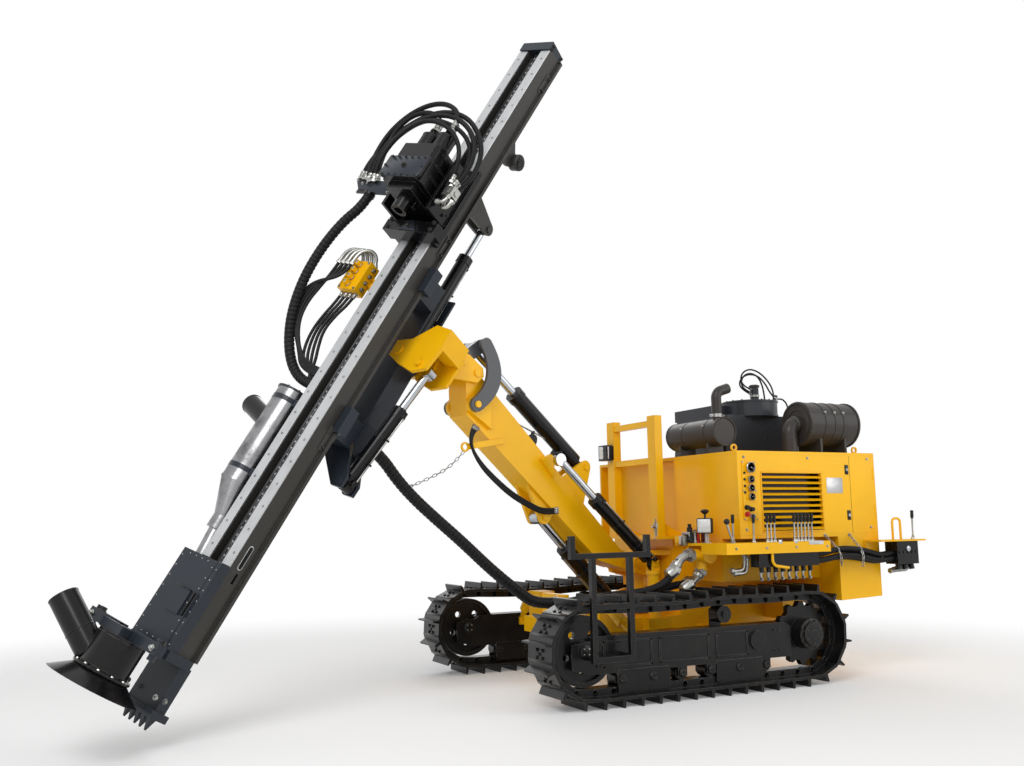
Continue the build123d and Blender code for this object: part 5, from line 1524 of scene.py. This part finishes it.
class RIG_OT_head(bpy.types.Operator):
    """Add the bolts, guards, elbows and guarded hoses of the drill head"""

    bl_idname = "rig.head"
    bl_label = "Drill head"

    def execute(self, context):
        head = Shape()
        cover = [(-0.222, -0.062), (-0.206, -0.080), (0.096, -0.080), (0.112, -0.062), (0.112, 0.062),
                 (0.096, 0.080), (-0.206, 0.080), (-0.222, 0.062)]
        front = on_face(0, 877, 796)
        head.plate(front, cover, 0.004, "slate", 0.0012)
        for k in range(6):
            for m in (948, 806):
                head.bolt(on_face(-192 + 55 * k, m, FRONT_COVER), 0.014, "track", False)
        for w in (-210, 100):
            head.bolt(on_face(w, 877, FRONT_COVER), 0.014, "track", False)
        head.turned(on_face(-55, 882, FRONT_COVER), [(0.021, 0), (0.021, 0.004), (0.0, 0.004)], "track", 24)
        head.bolt(on_face(-55, 882, FRONT_COVER + 4), 0.022, "track", False)
        guard = [(-0.245, 0.060), (-0.175, -0.018), (0.075, -0.058), (0.140, -0.056), (0.140, 0.048),
                 (0.060, 0.052)]
        head.plate(seat(on_feed(-385, 840, 624), FEED_FACE, FEED_SIDE), guard, 0.005, "slate", 0.0015)
        for w, m in ((-270, FRONT_COVER), (-270, 875), (-540, 862), (-600, 888)):
            head.bolt(on_face(w, m, 629), 0.014, "zinc")
        for w in (-112, 22):
            head.bolt_circle(seat(on_feed(w, 1102, 690), FEED_UP), 4, 0.052, 0, 0.014, "track", first=0.5)
            head.turned(seat(on_feed(w, 1198, 690), FEED_UP),
                        [(0.060, 0), (0.0615, 0.001), (0.0615, 0.006), (0.056, 0.010)], "head", 32)
        for w in (-125, 12):
            head.box(seat(on_feed(w, 700, 618), FEED_UP, FEED_SIDE), (0.022, 0.03, 0.1), "head", 0.003)
        head.box(on_face(-84, 742, 626), (0.036, 0.030, 0.014), "orange", 0.002)
        for w in (-225, 143):
            for m in (625, 680):
                head.bolt(on_face(w, m, 523), 0.02, "track")
        head.plate(on_face(-44, 622, 524),
                   [(-0.075, -0.018), (0.075, -0.018), (0.014, 0.058), (-0.014, 0.058)], 0.008, "slate",
                   0.002)
        head.bolt(on_face(-44, 634, 532), 0.022, "track")
        for m in (760, 880, 1000):
            for n in (500, 600):
                head.bolt(on_flank(176, m, n), 0.016, "track")
                head.bolt(on_flank(-258, m, n, -1), 0.016, "track")
        head.box(seat(on_feed(220, 815, 598), FEED_UP, FEED_SIDE), (0.082, 0.07, 0.072), "zinc", 0.006)
        head.turned(seat(on_feed(261, 850, 598), FEED_SIDE), [(0.02, 0), (0.02, 0.007), (0, 0.007)], "zinc",
                    6)
        head.turned(seat(on_feed(220, 850, 633), FEED_FACE), [(0.016, 0), (0.016, 0.006), (0, 0.006)],
                    "zinc", 6)
        elbow(head,
              through(on_feed, (198, 818, 592), (198, 765, 592), (225, 735, 596), (262, 748, 600),
                      (272, 792, 604)), 0.0125)
        elbow(head, through(on_feed, (240, 818, 620), (240, 782, 622), (214, 758, 626), (180, 760, 628)),
              0.0125)

        for name, radius, places in HEAD_ARCS:
            route = through(on_feed, *places)
            nut(head, seat(route[-1], route[-2] - route[-1]), radius)
            nut(head,
                seat(on_feed(places[0][0] + 12, places[0][1] + 30, places[0][2]), route[1] - route[0]),
                radius)
            wrapped_hose(f"head_hose_{name}", route, radius, HEAD_GUARD_PITCH, HEAD_GUARD_DEPTH, "hose",
                         "carriage", sides=12)

        for name, places in MOTOR_ROUTES:
            route = through(on_feed, *places)
            head.swept(even(route_line(route), 0.010)[:13], MOTOR_TUBE_RADIUS, "zinc", 16)
            nut(head, seat(route[0], route[1] - route[0]), 0.020)
            nut(head, seat(route[-1], route[-2] - route[-1]), 0.016)
            hose(f"motor_hose_{name}", route, MOTOR_HOSE_RADIUS, "hose", "carriage")
        head.done("head_fittings", "carriage")
        return {"FINISHED"}


class RIG_OT_foot(bpy.types.Operator):
    """Add the bolts, seams and sleeve at the foot of the feed"""

    bl_idname = "rig.foot"
    bl_label = "Foot"

    def execute(self, context):
        foot = Shape()
        axis = seat(on_feed(-44.5, 0, 655), FEED_UP, FEED_FACE)
        ring = axis @ Matrix.Translation((0, 0, -2.392))
        foot.turned(ring,
                    [(0.12, -0.004), (0.152, -0.004), (0.156, 0), (0.156, 0.010), (0.134, 0.013),
                     (0.128, 0.013)], "head", 48)
        foot.bolt_circle(ring, 12, 0.146, 0.009, 0.014, first=0.5)
        for m in (-2.215, -2.372):
            seam = axis @ Matrix.Translation((0, 0, m))
            foot.turned(seam,
                        [(0.128, -0.003), (0.1325, -0.002), (0.1335, 0), (0.1325, 0.002), (0.128, 0.003)],
                        "head", 48)
        foot.turned(axis @ Matrix.Translation((0, 0, -2.2)), [(0.075, 0), (0.075, 0.012), (0.06, 0.014)],
                    "head", 36)
        pipe_foot = Vector((-124.5, -2330.0, 715.0))
        way = Vector((-0.7, 0.5, 0.5)).normalized()
        pipe = seat(on_feed(*(pipe_foot + way * 120)),
                    FEED_SIDE * way.x + FEED_UP * way.y + FEED_FACE * way.z)
        foot.turned(pipe, [(0.076, 0), (0.0778, 0.002), (0.0782, 0.004), (0.0778, 0.006), (0.076, 0.008)],
                    "head", 36)
        foot.turned(pipe @ Matrix.Translation((0, 0, 0.2)),
                    [(0.0755, 0), (0.0775, 0.002), (0.0775, 0.0098), (0.0702, 0.0098), (0.0695, -0.02)],
                    "head", 36)
        for w in (-344, 225):
            foot.bolt(on_face(w, -2172, 686), 0.022, "zinc")
        for w in (-300, 255):
            foot.bolt(seat(on_feed(w - 16, -2140, 655), FEED_UP), 0.03, "track")
        for w, n in ((-170, 310), (-170, 380), (80, 310), (80, 380)):
            foot.bolt(on_flank(w if w < 0 else 84, -2380, n, -1 if w < 0 else 1), 0.02, "zinc")
        for w in (-150, -44, 62):
            foot.bolt(on_face(w, -2175, 521), 0.02, "track")
        foot.done("foot_fittings", "feed")
        return {"FINISHED"}


# Boom and cylinders


def dress_barrel(shape, base, head, radius, rod, ports):
    """Gland, welded ports and a feed tube on a cylinder barrel; base and head are the ends of its axis."""
    way = (head - base).normalized()
    long = (head - base).length
    tip = seat(head, way, ports)
    shape.turned(tip @ Matrix.Translation((0, 0, -0.045)),
                 [(radius, 0), (radius * 1.06, 0.002), (radius * 1.06, 0.04), (radius * 0.98, 0.046),
                  (rod * 1.25, 0.048), (rod * 1.2, 0.056), (rod, 0.057)], "head", 32)
    shape.bolt_circle(tip, 6, (radius + rod * 1.25) / 2, 0.001, 0.010, "track")
    out = tip.to_3x3() @ Vector((1, 0, 0))
    for share in (0.06, 0.93):
        port = base + way * long * share + out * radius * 0.96
        shape.turned(seat(port, out, way),
                     [(0.017, 0), (0.017, 0.012), (0.013, 0.014), (0.013, 0.02), (0, 0.02)], "head", 14)
    low, high = base + way * long * 0.09, base + way * long * 0.93
    rise = out * (radius + 0.016)
    line = [high + out * radius, high + rise, high + rise - way * 0.03, low + rise + way * 0.03, low + rise]
    shape.swept(route_line(line, 6), 0.0055, "zinc", 10)
    for share in (0.3, 0.62):
        strap = base + way * long * share
        shape.band(seat(strap, way, ports), radius, radius * 1.025, 0, 0.012, "head", 32)
        shape.box(seat(strap + out * (radius + 0.002) + way * 0.006, out, way), (0.012, 0.03, 0.022),
                  "head", 0.002)


def on_cheek(reach, z, off):
    """Seat on a side of the boom, x along its reach."""
    outward = 1 if off > 0 else -1
    return seat(on_boom(reach, z, off), BOOM_ACROSS * outward, BOOM_OUT)


# Ends of the cylinders' axes, in millimetres: LIFT, TILT and SWING_EYE are places on the boom,
# SWING_BASE is one on the machine, and FEED_SWING and EXTENSION are places on the feed
LIFT = ((330.0, 540.0), (1053.0, 1171.0))
TILT = ((642.0, 1519.0), (1702.0, 1892.0))
SWING_BASE = (-993.0, 350.0, 826.0)
SWING_EYE = (1036.0, 1551.0, 205.0)
FEED_SWING = ((100.0, -900.0), (222.0, -65.0))
EXTENSION = ((-20.0, 90.0), (-20.0, 811.0))

# Side face of the boom, in millimetres, and its hoses' radius in metres
BOOM_CHEEK = 90.5
BOOM_HOSE_RADIUS = 0.0095


class RIG_OT_boom(bpy.types.Operator):
    """Add the glands and ports of the cylinders, the boom's hoses and their chain"""

    bl_idname = "rig.boom"
    bl_label = "Boom"

    def execute(self, context):
        runs = (("lift", "lift_barrel", on_boom(*LIFT[0]), on_boom(*LIFT[1]), 0.640, 0.055, 0.032,
                 (0, 0, -1)),
                ("tilt", "tilt_barrel", on_boom(*TILT[0]), on_boom(*TILT[1]), 0.790, 0.057, 0.030, UP),
                ("swing", "swing_barrel", machine(*SWING_BASE), on_boom(*SWING_EYE), 0.700, 0.048, 0.028,
                 (0, 1, 0.4)),
                ("feed_swing", "feed_swing_barrel", on_feed(*FEED_SWING[0], 0), on_feed(*FEED_SWING[1], 0),
                 0.560, 0.044, 0.026, tuple(FEED_SIDE)),
                ("extension", "cradle", on_feed(*EXTENSION[0], 0), on_feed(*EXTENSION[1], 0), 0.721, 0.046,
                 0.026, tuple(-FEED_FACE)))
        for name, body, base, eye, long, radius, rod, ports in runs:
            shape = Shape()
            head = base + (eye - base).normalized() * long
            dress_barrel(shape, base, head, radius, rod, ports)
            shape.done(f"{name}_cylinder_fittings", body)

        boom = Shape()
        for off in (BOOM_CHEEK, -BOOM_CHEEK):
            for k in range(5):
                place = on_cheek(420 + 90 * k, 1010 + 78 * k, off)
                boom.bolt(place, 0.010, "yellow", False)
        link_chain("hose_arm_chain",
                   through(on_boom, (1772, 1596, 95), (1828, 1500, 40), (1920, 1425, -70),
                           (2004, 1372, -186)), CHAIN_WIRE, "boom")
        ends = Shape()
        for k in range(3):
            off = 20 + 26 * k
            route = through(on_boom, (1690 - 16 * k, 1760 - 9 * k, 96), (1735 - 10 * k, 1715, 112),
                            (1742, 1625, 118), (1660, 1520 - 12 * k, 118), (1530, 1420 - 14 * k, 116),
                            (1390, 1330 - 14 * k, 112), (1240, 1265 - 14 * k, 108),
                            (1090, 1210 - 12 * k, 102), (960, 1225 - 12 * k, 97))
            fitted_hose(f"boom_hose_{k + 1}", route, BOOM_HOSE_RADIUS, "boom", ends, "hose")
        ends.done("boom_hose_ends", "boom")
        boom.done("boom_fittings", "boom")

        tip = Shape()
        tip.bolt(on_cheek(1835, 2215, 120), 0.018, "yellow")
        tip.done("boom_head_fittings", "boom_head")
        return {"FINISHED"}


class RIG_PT_panel(bpy.types.Panel):
    """Lists the pieces in the order in which they are made"""

    bl_idname = "RIG_PT_panel"
    bl_label = "Drilling rig"
    bl_space_type = "VIEW_3D"
    bl_region_type = "UI"
    bl_category = "Rig"

    def draw(self, context):
        column = self.layout.column(align=True)
        for operator in OPERATORS:
            column.operator(operator.bl_idname)
        for group in (context.scene.rig_sizes, context.scene.stage_sizes):
            box = self.layout.box()
            for name in group.__annotations__:
                box.prop(group, name)


OPERATORS = (
    RIG_OT_finishes,
    RIG_OT_stage,
    RIG_OT_hoses,
    RIG_OT_tracks,
    RIG_OT_hood,
    RIG_OT_roof,
    RIG_OT_deck,
    RIG_OT_feed,
    RIG_OT_head,
    RIG_OT_foot,
    RIG_OT_boom,
)
CLASSES = (RigSizes, StageSizes, *OPERATORS, RIG_PT_panel)


def register():
    for made in CLASSES:
        bpy.utils.register_class(made)
    bpy.types.Scene.rig_sizes = PointerProperty(type=RigSizes)
    bpy.types.Scene.stage_sizes = PointerProperty(type=StageSizes)


def unregister():
    del bpy.types.Scene.stage_sizes
    del bpy.types.Scene.rig_sizes
    for made in reversed(CLASSES):
        bpy.utils.unregister_class(made)


def main():
    register()
    for operator in OPERATORS:
        group, name = operator.bl_idname.split(".")
        getattr(getattr(bpy.ops, group), name)()
    bpy.context.view_layer.update()


if __name__ == "__main__":
    main()
